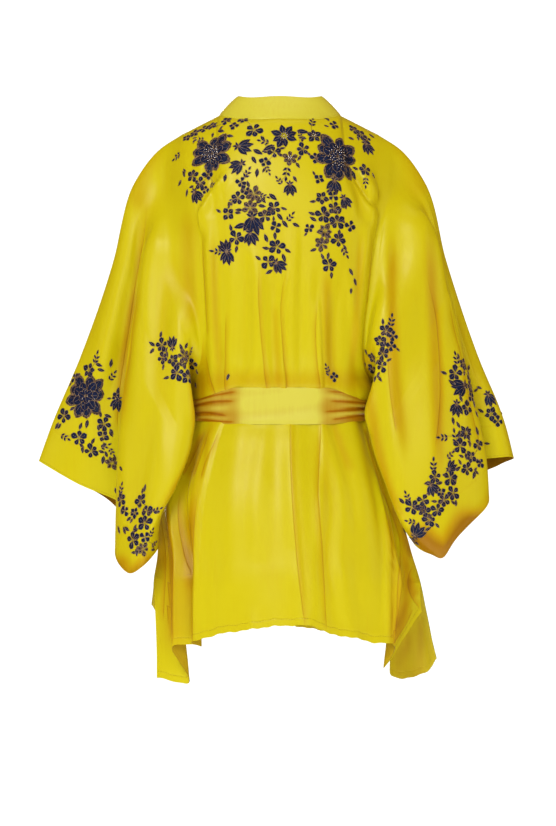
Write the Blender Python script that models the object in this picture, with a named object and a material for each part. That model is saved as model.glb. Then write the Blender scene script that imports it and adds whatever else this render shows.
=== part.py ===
"""A short satin kimono robe with a sash, filled out as if worn and empty inside.

Frame: +X is the wearer's left, -Y the front, +Z up. The origin lies between the shoulders, level with
the seam of the neck band. Sizes in the tables are millimetres.
"""

import math

import bpy
import numpy as np

MM = 0.001
WALL = 1.5
SEAM_BACKOFF = 0.18
MITRE_FLOOR = 0.4

NECK_HALF = 89.0
NECK_BACK = 62.0
NECK_RISE = 12.0
NECK_BASE = 3.0
NECK_COLUMN = 0.6
SHOULDER_HALF = 142.0
SHOULDER_DROP = 27.0
CAP_FOOT = -150.0
UNDERARM = -374.0
SLIT_TOP = -640.0
HEM = -740.0
SECTION_POWER = 2.3

BACK_COLUMNS = 30
FRONT_COLUMNS = 12
BACK_ARMHOLE_ROWS = 18
FRONT_ARMHOLE_ROWS = 16
LOWER_ROWS = (-391, -409, -435, -455, -485, -520, -560, -600, SLIT_TOP, -672, -706, HEM)

BAND_WIDTH = 40.0
BAND_COLUMN = 1.35
BAND_LEAN_SIDE = 27.0
BAND_RISE_SIDE = 28.0
BAND_LEAN_BACK = 22.0
BAND_RISE_BACK = 36.0
WRAP_GAP = 5.0

SLEEVE_ROWS = (0, 0.04, 0.08, 0.13, 0.19, 0.27, 0.35, 0.43, 0.52, 0.61, 0.70, 0.80)
CUFF_SEAM = 0.9075
CUFF_ROWS = (CUFF_SEAM, 0.955, 1.0)

BELT_MIDDLE = -409.0
BELT_HALF_HEIGHT = 26.3
BELT_NARROWING = 11.0
BELT_SAG = 6.0
BELT_NARROW_FROM = 60.0
BELT_NARROW_TO = 126.0
BELT_CLEARANCE = 0.9
BELT_WALL = 2.5
BELT_FRONT_COLUMNS = 24

KNOT_HALF = (27.0, 13.0, 24.0)
KNOT_X = -6.0
KNOT_GAP = 0.5
KNOT_COLUMNS = 24
KNOT_ROWS = 14
TAIL_TOP = -435.6
TAIL_BOTTOM = -706.0
TAIL_ROWS = 14
TAIL_LIFT = (13.0, 2.2)
TAIL_WIDTHS = (24.0, 48.0)
TAIL_GATHER = 90.0
TAIL_COLUMNS = 4

# Horizontal sections of the body above the slits.
TORSO = np.array([
    # height, half_width, back_depth, front_depth, armhole_left, armhole_right, front_edge
    (20, 165, 100, 90, 143, 143, 92),
    (-12, 162, 102, 92, 142, 142, 84),
    (-60, 158, 104, 94, 133, 141, 69),
    (-100, 155, 105, 96, 126, 143, 52),
    (-150, 153, 106, 99, 118, 140, 33),
    (-200, 151, 106, 107, 114, 133, 14),
    (-260, 147, 103, 104, 111, 126, -6),
    (-320, 141, 99, 97, 111, 121, -20),
    (-355, 135, 98, 93, 118, 124, -27),
    (-374, 131, 97, 91, 131, 131, -30),
    (-391, 130, 92.5, 89, 130, 130, -31),
    (-409, 129.5, 91, 88, 129.5, 129.5, -32),
    (-435, 131, 92.5, 90, 131, 131, -34),
    (-470, 141, 105, 98, 141, 141, -36),
    (-520, 158, 121, 110, 158, 158, -38),
], float)
TORSO_COLUMNS = ("height", "half_width", "back_depth", "front_depth",
                 "armhole_left", "armhole_right", "front_edge")

# Lines that run down the back of the skirt, from the wearer's left to the right. The edge lines are
# the outer folds of pleats and the under lines the folds beneath them.
BACK_LINES = (
    # name, column, point at the slit's top, point at the hem
    ("left_side", 1.0, (180, 16, -640), (178, 30, -803)),
    ("left_under_outer", 0.867, (149, 54, -640), (130, 48, -806)),
    ("left_edge_outer", 0.733, (152, 79, -638), (155, 77, -754)),
    ("left_under_inner", 0.6, (115, 86, -636), (112, 84, -751)),
    ("left_edge_inner", 0.533, (122, 103, -633), (125, 102, -746)),
    ("left_panel", 0.4, (92, 119, -634), (94, 124, -733)),
    ("left_middle", 0.2, (48, 136, -630), (45, 146, -723)),
    ("centre", 0.0, (0, 142, -628), (-1, 152, -717)),
    ("right_pleat", -0.2, (-50, 141, -631), (-54, 152, -720)),
    ("right_step", -0.267, (-66, 134, -631), (-70, 141, -729)),
    ("right_middle", -0.4, (-98, 125, -633), (-101, 129, -735)),
    ("right_panel", -0.533, (-132, 107, -636), (-132, 110, -744)),
    ("right_edge", -0.667, (-169, 86, -637), (-164, 91, -751)),
    ("right_under", -0.8, (-160, 66, -640), (-150, 68, -784)),
    ("right_side", -1.0, (-198, 17, -643), (-205, 28, -706)),
)

# The same for the fronts, from the side seam to the front edge.
FRONT_LINES = {
    "left": (
        ("side", 0.0, (180, 16, -640), (187, -4, -700)),
        ("side_fold", 0.15, (170, -42, -640), (173, -46, -727)),
        ("side_trough", 0.3, (146, -82, -640), (146, -84, -748)),
        ("middle_fold", 0.45, (114, -113, -640), (124, -126, -748)),
        ("middle_trough", 0.6, (80, -127, -640), (84, -133, -740)),
        ("front_fold", 0.8, (22, -140, -640), (22, -150, -732)),
        ("front_edge", 1.0, (-40, -136, -640), (-44, -144, -728)),
        ("band_edge", BAND_COLUMN, (-80, -125, -640), (-84, -132, -727)),
    ),
    "right": (
        ("side", 0.0, (-198, 17, -643), (-228, 2, -778)),
        ("side_fold", 0.083, (-196, -16, -642), (-218, -40, -800)),
        ("side_roll", 0.167, (-186, -44, -640), (-190, -56, -812)),
        ("roll_edge", 0.25, (-168, -62, -640), (-164, -60, -806)),
        ("side_under", 0.333, (-152, -84, -640), (-176, -92, -769)),
        ("middle_fold", 0.5, (-108, -106, -640), (-126, -118, -752)),
        ("middle_trough", 0.667, (-64, -119, -640), (-70, -122, -748)),
        ("front_fold", 0.833, (-14, -130, -640), (-14, -138, -740)),
        ("front_edge", 1.0, (40, -127, -640), (44, -131, -731)),
        ("band_edge", BAND_COLUMN, (80, -115, -640), (84, -120, -729)),
    ),
}

# Rings of the sleeves at these shares of the length from armhole to hem, and the lines through them.
# Places are shares of the way round: 0 the ridge over the arm, 0.5 the seam below it, then the front.
SLEEVE_STATIONS = (0.08, 0.19, 0.41, 0.69, CUFF_SEAM, 1.0)
SLEEVE_LINES = {
    "left": (
        # name, place, one point for each station
        ("ridge", 0, (177, -2, -35), (212, -5, -81), (243, -12, -195), (292, -18, -335), (336, -22, -441),
         (354, -25, -490)),
        ("far", 3, (170, 14, -62), (202, 10, -116), (227, 10, -218), (261, 10, -365), (286, 5, -476),
         (298, 0, -521)),
        ("valley", 6, (160, 28, -105), (191, 22, -150), (204, 14, -240), (208, 4, -398), (212, 0, -522),
         (214, -4, -564)),
        ("edge", 9, (146, 54, -178), (181, 38, -178), (208, 38, -266), (232, 42, -446), (237, 46, -566),
         (238, 46, -617)),
        ("belly", 12, (131, 68, -248), (155, 64, -250), (175, 70, -352), (191, 86, -507), (212, 86, -600),
         (218, 80, -647)),
        ("hang", 15, (125, 70, -320), (134, 76, -322), (143, 87, -422), (160, 102, -521), (188, 98, -599),
         (195, 92, -637)),
        ("seam", 18, (150, 18, -384), (127, 62, -407), (125, 76, -458), (147, 88, -523), (172, 80, -578),
         (175, 70, -614)),
        ("front_inner", 22, (130, -56, -310), (146, -40, -345), (164, 2, -415), (180, 36, -512),
         (190, 16, -583), (197, 8, -620)),
        ("front_belly", 26, (138, -68, -186), (170, -68, -222), (208, -62, -330), (232, -58, -440),
         (240, -58, -520), (246, -54, -555)),
        ("front_far", 30, (158, -36, -80), (190, -40, -135), (229, -50, -250), (267, -55, -385),
         (300, -55, -478), (305, -50, -519)),
    ),
    "right": (
        ("ridge", 0, (-177, -2, -35), (-211, -5, -81), (-243, -12, -195), (-289, -18, -331),
         (-332, -22, -438), (-344, -25, -485)),
        ("far", 3, (-172, 14, -58), (-209, 10, -100), (-241, 8, -211), (-284, 8, -356), (-316, 0, -437),
         (-322, -6, -484)),
        ("valley", 6, (-166, 30, -98), (-208, 22, -122), (-235, 15, -232), (-247, 2, -371),
         (-248, -6, -451), (-250, -8, -497)),
        ("edge", 9, (-156, 50, -162), (-202, 38, -148), (-243, 37, -248), (-277, 41, -386),
         (-299, 45, -493), (-302, 45, -542)),
        ("belly", 12, (-146, 64, -238), (-179, 64, -222), (-203, 70, -324), (-228, 86, -450),
         (-245, 88, -543), (-255, 86, -597)),
        ("hang", 15, (-132, 72, -322), (-146, 78, -328), (-157, 88, -404), (-178, 104, -511),
         (-206, 100, -589), (-228, 92, -628)),
        ("seam", 18, (-148, 22, -384), (-125, 64, -404), (-130, 77, -456), (-149, 90, -517),
         (-176, 86, -583), (-194, 68, -609)),
        ("front_inner", 22, (-134, -56, -310), (-148, -42, -345), (-166, 0, -415), (-188, 38, -512),
         (-212, 24, -580), (-224, 18, -612)),
        ("front_belly", 26, (-148, -66, -186), (-176, -68, -222), (-210, -62, -325), (-242, -58, -430),
         (-268, -58, -492), (-277, -52, -525)),
        ("front_far", 30, (-162, -34, -80), (-192, -38, -130), (-230, -50, -240), (-270, -55, -370),
         (-318, -52, -452), (-324, -46, -496)),
    ),
}
RING_POINTS = BACK_ARMHOLE_ROWS + FRONT_ARMHOLE_ROWS

# Soft folds of the back, by column and by height, as ridges (+) or troughs (-) of a raised cosine.
BACK_FOLDS = (
    # name, column at top, column at bottom, top, bottom, half width, height
    ("left_shoulder_pucker", 0.62, 0.80, -40, -150, 0.13, -5),
    ("left_armhole_roll", 0.84, 0.82, -60, -350, 0.14, 4),
    ("left_loose_fold", 0.30, 0.26, -190, -381, 0.12, 5),
    ("centre_fold", -0.12, -0.10, -150, -381, 0.11, 4),
    ("right_loose_fold", -0.50, -0.42, -210, -381, 0.13, 4),
    ("right_shoulder_pucker", -0.62, -0.80, -70, -160, 0.13, -6),
    ("right_armhole_roll", -0.84, -0.82, -60, -350, 0.14, 4),
    ("left_edge_gather", 0.53, 0.53, -440, -640, 0.09, 3),
    ("left_under_gather", 0.64, 0.61, -440, -660, 0.10, -9),
    ("left_skirt_fold", 0.12, 0.12, -440, -640, 0.10, 3),
    ("centre_skirt_fold", -0.10, -0.10, -440, -620, 0.10, 3),
    ("right_skirt_pleat", -0.27, -0.27, -440, -700, 0.09, -6),
    ("right_edge_gather", -0.66, -0.66, -440, -640, 0.09, 3),
    ("right_under_gather", -0.78, -0.78, -440, -660, 0.10, -9),
)
SLEEVE_FOLDS = (
    # name, place at top, place at bottom, top, bottom, half width, height
    ("shoulder_trough", 4.5, 7.0, 0.05, 0.55, 2.6, -6),
    ("upper_ridge", 8.5, 9.5, 0.04, 0.40, 2.6, 5),
    ("middle_trough", 11.0, 12.0, 0.03, 0.50, 2.4, -5),
    ("lower_ridge", 14.0, 14.0, 0.02, 0.45, 2.4, 5),
    ("front_trough", 29.0, 27.0, 0.08, 0.80, 2.6, -7),
    ("front_ridge", 25.5, 24.5, 0.10, 0.85, 2.4, 6),
)

# The hanging ends of the sash, by their column on the left front.
TAILS = (
    # name, column at top, column at bottom
    ("belt_tail_left", 0.755, 0.61),
    ("belt_tail_right", 0.915, 1.02),
)

SATIN = ("satin_yellow", (0.73, 0.62, 0.015), 0.34)
SATIN_BELT = ("satin_belt", (0.72, 0.60, 0.016), 0.32)


def smooth(keys, values, at):
    """A smooth curve through the values at rising keys, read at each number of at."""
    keys = np.asarray(keys, float)
    values = np.asarray(values, float)
    at = np.asarray(at, float)
    flat = values.reshape(len(keys), -1)
    steps = np.diff(keys)[:, None]
    slopes = np.diff(flat, axis=0) / steps
    inner = (slopes[:-1] * steps[1:] + slopes[1:] * steps[:-1]) / (steps[:-1] + steps[1:])
    tangents = np.concatenate([slopes[:1], inner, slopes[-1:]])
    at_flat = np.clip(at.ravel(), keys[0], keys[-1])
    k = np.clip(np.searchsorted(keys, at_flat, side="right") - 1, 0, len(keys) - 2)
    step = steps[k]
    q = (at_flat[:, None] - keys[k][:, None]) / step
    read = ((1 + 2 * q) * (1 - q) ** 2 * flat[k] + q * (1 - q) ** 2 * step * tangents[k]
            + q * q * (3 - 2 * q) * flat[k + 1] + q * q * (q - 1) * step * tangents[k + 1])
    return read.reshape(at.shape + values.shape[1:])


def torso(column, height):
    values = TORSO[:, TORSO_COLUMNS.index(column)]
    return smooth(-TORSO[:, 0], values, -np.asarray(height, float))


def section_angle(share):
    """The angle at which a section reaches this share of its half width."""
    powered = min(abs(share), 0.9999999) ** SECTION_POWER
    angle = math.atan((powered / (1 - powered)) ** (1 / SECTION_POWER))
    return math.copysign(angle if abs(share) < 0.999999 else math.pi / 2, share)


def section(angle, half_width, depth):
    sine, cosine = math.sin(angle), max(math.cos(angle), 0.0)
    size = (abs(sine) ** SECTION_POWER + cosine ** SECTION_POWER) ** (1 / SECTION_POWER)
    return half_width * sine / size, depth * cosine / size


def bump(at, centre, half_width):
    q = np.clip((at - centre) / half_width, -1, 1)
    return np.cos(q * math.pi / 2) ** 2


def shoulder_height(across):
    """Height of the shoulder seam at this distance from the centre."""
    q = (across - NECK_HALF) / (SHOULDER_HALF - NECK_HALF)
    return NECK_BASE + NECK_RISE - SHOULDER_DROP * q


def back_top(column):
    """Upper edge of the back: the neck curve, then the shoulder seams."""
    share = abs(column)
    if share <= NECK_COLUMN + 1e-9:
        q = min(share / NECK_COLUMN, 1.0)
        across = NECK_HALF * q
        point = (across, NECK_BACK * math.sqrt(1 - q * q), NECK_BASE + NECK_RISE * q ** 4)
    else:
        across = NECK_HALF + (SHOULDER_HALF - NECK_HALF) * (share - NECK_COLUMN) / (1 - NECK_COLUMN)
        point = (across, 0.0, shoulder_height(across))
    return math.copysign(point[0], column), point[1], point[2]


def front_top(column):
    """Upper edge of a front, from the armhole to the neck, and of its band beyond that."""
    if column <= 1:
        across = SHOULDER_HALF - (SHOULDER_HALF - NECK_HALF) * column
        return across, 0.0, shoulder_height(across)
    q = (column - 1) / (BAND_COLUMN - 1)
    return NECK_HALF - BAND_LEAN_SIDE * q, 0.0, NECK_BASE + NECK_RISE + BAND_RISE_SIDE * q


def over_cap(top, height, foot_y, level_x):
    """The point at a height above the cap's foot, on the curve from the top edge down to the foot."""
    share = min(max((height - CAP_FOOT) / (top[2] - CAP_FOOT), 0.0), 1.0)
    power = 1.9
    y = top[1] + (foot_y - top[1]) * (1 - share ** power) ** (1 / power)
    blend = share * share
    return (1 - blend) * level_x + blend * top[0], y, height


def back_section(column, height):
    side = "left" if column > 0 else "right"
    half_width = float(torso("half_width", height))
    edge = float(torso("armhole_" + side, height)) / half_width
    angle = section_angle(edge) * column
    return section(angle, half_width, float(torso("back_depth", height)))


def front_section(side, column, height):
    """A point of a front: column 0 is its side or armhole, 1 its edge, and more is the band."""
    half_width = float(torso("half_width", height))
    start = section_angle(float(torso("armhole_" + side, height)) / half_width)
    edge_x = float(torso("front_edge", height))
    end = section_angle(edge_x / half_width)
    if column <= 1:
        angle = start + (end - start) * column
    else:
        free = section_angle((edge_x - BAND_WIDTH) / half_width)
        angle = end + (free - end) * (column - 1) / (BAND_COLUMN - 1)
    depth = float(torso("front_depth", height)) - (WRAP_GAP if side == "right" else 0.0)
    x, y = section(angle, half_width, depth)
    return (x if side == "left" else -x), -y


def upper_point(top, level, read_section):
    """The point at a share of the way from a panel's upper edge down to the underarm."""
    height = top[2] + (UNDERARM - top[2]) * level
    x, y = read_section(height)
    if height <= CAP_FOOT:
        return x, y, height
    foot_y = read_section(CAP_FOOT)[1]
    return over_cap(top, height, foot_y, x)


def skirt_lines(lines):
    """Reads a table of lines as smooth rows across the panel, at the slit's top and at the hem."""
    ordered = sorted(lines, key=lambda line: line[1])
    columns = [line[1] for line in ordered]

    def read(column):
        return (smooth(columns, [line[2] for line in ordered], column),
                smooth(columns, [line[3] for line in ordered], column))

    return read


def lower_point(height, read_section, slit_point, hem_point):
    """The point of the skirt at a nominal height, between the belt's sections and the hem."""
    if height >= -435:
        return (*read_section(height), height)
    sections = [(*read_section(key), key) for key in (-409, -435, -470, -520)]
    keys = (409, 435, 470, 520, -SLIT_TOP)
    if height >= SLIT_TOP:
        return tuple(smooth(keys, [*sections, slit_point], -height))
    slit, hem, hip = np.array(slit_point), np.array(hem_point), np.array(sections[-1])
    span = SLIT_TOP - HEM
    start = (slit - hip) / (-520 - SLIT_TOP) * span
    q = (SLIT_TOP - height) / span
    return tuple(slit + (hem - slit) * q * q * (2 - q) + start * q * (1 - q) ** 2
                 + (hem - slit) * q * q * (q - 1))


def armhole_levels(count):
    """Shares of the way down the armhole, closer together at the shoulder and at the underarm."""
    return [(1 - math.cos(math.pi * i / count)) / 2 for i in range(count + 1)]


def back_levels():
    return armhole_levels(BACK_ARMHOLE_ROWS)


def front_levels():
    return armhole_levels(FRONT_ARMHOLE_ROWS)


def back_point(column, level=None, height=None):
    def read_section(at):
        return back_section(column, at)

    if height is None:
        return upper_point(back_top(column), level, read_section)
    return lower_point(height, read_section, *READ_BACK_LINES(column))


def front_point(side, column, level=None, height=None):
    def read_section(at):
        return front_section(side, column, at)

    if height is None:
        x, y, z = front_top(column)
        return upper_point((x if side == "left" else -x, y, z), level, read_section)
    return lower_point(height, read_section, *READ_FRONT_LINES[side](column))


READ_BACK_LINES = skirt_lines(BACK_LINES)
READ_FRONT_LINES = {side: skirt_lines(lines) for side, lines in FRONT_LINES.items()}


def grid_normals(grid, closed):
    """Unit normals of a grid of points, rows first. A closed grid's columns run round."""
    down = np.gradient(grid, axis=0)
    if closed:
        across = (np.roll(grid, -1, axis=1) - np.roll(grid, 1, axis=1)) / 2
    else:
        across = np.gradient(grid, axis=1)
    normals = np.cross(down, across)
    return normals / np.maximum(np.linalg.norm(normals, axis=2, keepdims=True), 1e-9)


class Panel:
    """One piece of cloth: a grid of points on its outer face, rows down and columns across."""

    def __init__(self, name, points, material, closed=False, flip=False, wall=WALL):
        self.name = name
        self.points = np.array(points, float)
        self.closed = closed
        self.material = material
        self.wall = wall
        self.flip = flip
        self.normals = grid_normals(self.points, closed) * (-1 if flip else 1)
        self.reach = np.ones(self.points.shape[:2])

    def raise_folds(self, folds, rows, columns):
        """Moves the points along their normals by the folds of a table."""
        rows = np.asarray(rows, float)[:, None]
        columns = np.asarray(columns, float)[None, :]
        total = np.zeros(self.points.shape[:2])
        for _, column_top, column_bottom, top, bottom, half_width, height in folds:
            along = np.clip((rows - top) / (bottom - top), 0, 1)
            centre = column_top + (column_bottom - column_top) * along
            fade = np.sin(along * math.pi) ** 0.8
            total += height * fade * bump(columns, centre, half_width)
        self.points += total[:, :, None] * self.normals
        self.normals = grid_normals(self.points, self.closed) * (-1 if self.flip else 1)

    def border(self):
        """Rows and columns of the border points, each with the neighbours along it and inside it."""
        rows, columns = self.points.shape[:2]
        for row, inside in ((0, 1), (rows - 1, rows - 2)):
            for column in range(columns):
                before, after = column - 1, column + 1
                if self.closed:
                    before, after = before % columns, after % columns
                else:
                    before, after = max(before, 0), min(after, columns - 1)
                yield row, column, (row, before), (row, after), (inside, column)
        if not self.closed:
            for column, inside in ((0, 1), (columns - 1, columns - 2)):
                for row in range(rows):
                    yield (row, column, (max(row - 1, 0), column), (min(row + 1, rows - 1), column),
                           (row, inside))


def inward(normal, along, within):
    """The direction on the surface that leaves a seam running along, on the side of within."""
    away = np.cross(normal, along)
    away /= max(np.linalg.norm(away), 1e-9)
    return away if away @ within > 0 else -away


def sew(panels):
    """Gives points that pieces share one normal, and draws each piece back from its seams."""
    shared = {}
    for panel in panels:
        seen = set()
        for row, column, *_ in panel.border():
            if (row, column) not in seen:
                seen.add((row, column))
                key = tuple(np.round(panel.points[row, column], 2))
                shared.setdefault(key, []).append((panel, row, column))
    for members in shared.values():
        if len({member[0].name for member in members}) < 2:
            continue
        own = [panel.normals[row, column].copy() for panel, row, column in members]
        total = np.sum(own, axis=0)
        total /= max(np.linalg.norm(total), 1e-9)
        for (panel, row, column), normal in zip(members, own):
            panel.normals[row, column] = total
            panel.reach[row, column] = 1 / max(float(total @ normal), MITRE_FLOOR)
    seams = {key for key, members in shared.items() if len({m[0].name for m in members}) > 1}
    for panel in panels:
        moves = np.zeros_like(panel.points)
        for row, column, before, after, inside in panel.border():
            keys = [tuple(np.round(panel.points[place], 2)) for place in (before, (row, column), after)]
            if keys[1] not in seams:
                continue
            here, within = panel.points[row, column], panel.points[inside]
            aways = [inward(panel.normals[row, column], panel.points[place] - here, within - here)
                     for place, key in ((before, keys[0]), (after, keys[2]))
                     if key in seams and key != keys[1]]
            if len(aways) == 2:
                aways = [(aways[0] + aways[1]) / max(1 + aways[0] @ aways[1], 0.5)]
            if aways:
                moves[row, column] += aways[0] * SEAM_BACKOFF
        for row, column, before, after, _ in panel.border():
            keys = [tuple(np.round(panel.points[place], 2)) for place in (before, (row, column), after)]
            if keys[1] not in seams and keys[0] in seams and keys[2] in seams:
                moves[row, column] = (moves[before] + moves[after]) / 2
                total = panel.normals[before] + panel.normals[after]
                panel.normals[row, column] = total / np.linalg.norm(total)
                panel.reach[row, column] = (panel.reach[before] + panel.reach[after]) / 2
        panel.moves = moves


def make_wall(panel):
    """Builds the closed wall of a piece: its outer face, its inner face and the edges between."""
    rows, columns = panel.points.shape[:2]
    moves = getattr(panel, "moves", 0)
    outer = panel.points + moves
    inner = outer - panel.normals * (panel.reach * panel.wall)[:, :, None]
    vertices = np.concatenate([outer.reshape(-1, 3), inner.reshape(-1, 3)])
    half = rows * columns
    faces = []

    def at(row, column):
        return row * columns + column % columns

    spans = columns if panel.closed else columns - 1
    for row in range(rows - 1):
        for column in range(spans):
            a, b = at(row, column), at(row + 1, column)
            c, d = at(row + 1, column + 1), at(row, column + 1)
            if np.linalg.norm(vertices[a] - vertices[c]) <= np.linalg.norm(vertices[b] - vertices[d]):
                triangles = ((a, b, c), (a, c, d))
            else:
                triangles = ((a, b, d), (b, c, d))
            for first, second, third in triangles:
                faces.append((first, second, third))
                faces.append((first + half, third + half, second + half))
    loops = []
    if panel.closed:
        loops.append([at(0, column) for column in range(columns)])
        loops.append([at(rows - 1, column) for column in reversed(range(columns))])
    else:
        loops.append([at(0, column) for column in range(columns)]
                     + [at(row, columns - 1) for row in range(1, rows)]
                     + [at(rows - 1, column) for column in reversed(range(columns - 1))]
                     + [at(row, 0) for row in reversed(range(1, rows - 1))])
    for loop in loops:
        for first, second in zip(loop, loop[1:] + loop[:1]):
            falling = np.linalg.norm(vertices[first] - vertices[second + half])
            rising = np.linalg.norm(vertices[second] - vertices[first + half])
            if falling <= rising:
                faces += [(first, second, second + half), (first, second + half, first + half)]
            else:
                faces += [(first, second, first + half), (second, second + half, first + half)]
    if panel.flip:
        faces = [face[::-1] for face in faces]
    return add_object(panel.name, vertices, faces, panel.material)


def add_object(name, vertices, faces, material):
    mesh = bpy.data.meshes.new(name)
    mesh.from_pydata([tuple(point) for point in vertices * MM], [], faces)
    mesh.validate()
    mesh.shade_smooth()
    mesh.set_sharp_from_angle(angle=math.radians(50))
    piece = bpy.data.objects.new(name, mesh)
    piece.data.materials.append(material)
    bpy.context.scene.collection.objects.link(piece)
    return piece


def satin(name, colour, roughness):
    material = bpy.data.materials.new(name)
    material.use_nodes = True
    shader = material.node_tree.nodes["Principled BSDF"]
    shader.inputs["Base Color"].default_value = (*colour, 1)
    shader.inputs["Roughness"].default_value = roughness
    shader.inputs["Metallic"].default_value = 0
    return material


def fold_rows(levels):
    """Nominal heights of a panel's rows, for its table of folds."""
    armhole_top = shoulder_height(SHOULDER_HALF)
    return [armhole_top + (UNDERARM - armhole_top) * level for level in levels] + list(LOWER_ROWS)


def make_back(material):
    columns = np.linspace(1, -1, BACK_COLUMNS + 1)
    grid = [[back_point(column, level=level) for column in columns] for level in back_levels()]
    grid += [[back_point(column, height=height) for column in columns] for height in LOWER_ROWS]
    panel = Panel("back", grid, material)
    panel.raise_folds(BACK_FOLDS, fold_rows(back_levels()), columns)
    return panel


def make_front(side, material):
    columns = np.linspace(0, 1, FRONT_COLUMNS + 1)
    grid = [[front_point(side, column, level=level) for column in columns] for level in front_levels()]
    grid += [[front_point(side, column, height=height) for column in columns] for height in LOWER_ROWS]
    return Panel("front_" + side, grid, material, flip=side == "left")


def armhole_ring(side):
    """The armhole from the shoulder down the back, then up the front."""
    column = 1 if side == "left" else -1
    back = [back_point(column, level=level) for level in back_levels()]
    front = [front_point(side, 0, level=level) for level in front_levels()]
    return back + front[-2:0:-1]


def sleeve_rings(side):
    places = [line[1] for line in SLEEVE_LINES[side]]
    count = len(places)
    keys = [place - RING_POINTS for place in places[-2:]] + places + [
        place + RING_POINTS for place in places[:2]]
    rings = [armhole_ring(side)]
    for station in range(len(SLEEVE_STATIONS)):
        points = [line[2 + station] for line in SLEEVE_LINES[side]]
        wrapped = points[count - 2:] + points + points[:2]
        rings.append(smooth(keys, wrapped, np.arange(RING_POINTS)))
    return np.array(rings, float)


def make_sleeve(side, material):
    """The sleeve and its cuff band, which share the ring at the seam between them."""
    rings = sleeve_rings(side)
    lengths = np.array(SLEEVE_ROWS + CUFF_ROWS)
    grid = smooth((0, *SLEEVE_STATIONS), rings, lengths)
    whole = Panel("whole", grid, material, closed=True, flip=side == "right")
    whole.raise_folds(SLEEVE_FOLDS, lengths, np.arange(RING_POINTS))
    count = len(SLEEVE_ROWS)
    sleeve = Panel("sleeve_" + side, whole.points[:count + 1], material, closed=True, flip=side == "right")
    cuff = Panel("cuff_" + side, whole.points[count:], material, closed=True, flip=side == "right")
    return sleeve, cuff


def make_neck_band(panels, material):
    """One strip from hem to hem: up the right front, round the neck and down the left front."""
    right, left, back = panels["front_right"], panels["front_left"], panels["back"]
    middle = (1 + BAND_COLUMN) / 2

    def strip(side, panel):
        rows = []
        for index in range(panel.points.shape[0]):
            seam = panel.points[index, -1]
            if index <= FRONT_ARMHOLE_ROWS:
                place = {"level": front_levels()[index]}
            else:
                place = {"height": LOWER_ROWS[index - FRONT_ARMHOLE_ROWS - 1]}
            rows.append([seam, front_point(side, middle, **place), front_point(side, BAND_COLUMN, **place)])
        return rows

    neck = []
    for column, seam in zip(np.linspace(1, -1, BACK_COLUMNS + 1), back.points[0]):
        if abs(column) < NECK_COLUMN - 1e-6:
            q = column / NECK_COLUMN
            round_share = 1 - q * q
            lean = np.array((-BAND_LEAN_SIDE * q,
                             -BAND_LEAN_BACK * round_share,
                             BAND_RISE_SIDE + (BAND_RISE_BACK - BAND_RISE_SIDE) * round_share))
            neck.append([seam, seam + lean * 0.5, seam + lean])
    rows = strip("right", right)[::-1] + neck[::-1] + strip("left", left)
    return Panel("neck_band", rows, material, flip=True)


def make_belt(material):
    angles = [(math.pi / 2 * column, 1) for column in np.linspace(1, -1, BACK_COLUMNS + 1)]
    angles += [(math.pi / 2 * column, -1) for column in
               np.linspace(-1, 1, BELT_FRONT_COLUMNS + 1)[1:-1]]
    grid = []
    for share in (1, 0, -1):
        row = []
        for angle, facing in angles:
            across = abs(section(angle, float(torso("half_width", BELT_MIDDLE)), 1.0)[0])
            narrow = min(max((across - BELT_NARROW_FROM) / (BELT_NARROW_TO - BELT_NARROW_FROM), 0.0), 1.0)
            narrow *= narrow * (3 - 2 * narrow)
            height = BELT_MIDDLE - BELT_SAG * narrow + share * (BELT_HALF_HEIGHT - BELT_NARROWING * narrow)
            out = BELT_CLEARANCE + BELT_WALL
            depth = float(torso("back_depth" if facing > 0 else "front_depth", height))
            x, y = section(angle, float(torso("half_width", height)) + out, depth + out)
            row.append((x, y * facing, height))
        grid.append(row)
    return Panel("belt", grid, material, closed=True, wall=BELT_WALL)


def make_knot(material):
    """The flat knot of the sash, on the belt at the front."""
    front_face = float(torso("front_depth", BELT_MIDDLE)) + BELT_CLEARANCE + BELT_WALL + KNOT_GAP
    centre = np.array((KNOT_X, -front_face - KNOT_HALF[1], BELT_MIDDLE))
    vertices = []
    for row in range(1, KNOT_ROWS):
        polar = math.pi * row / KNOT_ROWS
        for column in range(KNOT_COLUMNS):
            turn = 2 * math.pi * column / KNOT_COLUMNS
            crease = 1 + 0.06 * math.cos(3 * turn + 2 * polar)
            direction = np.array((math.sin(polar) * math.cos(turn), math.sin(polar) * math.sin(turn),
                                  math.cos(polar)))
            squared = np.sign(direction) * np.abs(direction) ** 0.8
            point = centre + squared * KNOT_HALF * (crease if direction[1] < 0 else 1)
            vertices.append(point)
    first, last = len(vertices), len(vertices) + 1
    vertices += [centre + (0, 0, KNOT_HALF[2]), centre - (0, 0, KNOT_HALF[2])]
    faces = []
    for row in range(KNOT_ROWS - 2):
        for column in range(KNOT_COLUMNS):
            a = row * KNOT_COLUMNS + column
            b = row * KNOT_COLUMNS + (column + 1) % KNOT_COLUMNS
            faces += [(a, a + KNOT_COLUMNS, b + KNOT_COLUMNS), (a, b + KNOT_COLUMNS, b)]
    base = (KNOT_ROWS - 2) * KNOT_COLUMNS
    for column in range(KNOT_COLUMNS):
        after = (column + 1) % KNOT_COLUMNS
        faces += [(first, column, after), (last, base + after, base + column)]
    return add_object("belt_knot", np.array(vertices), faces, material)


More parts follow.
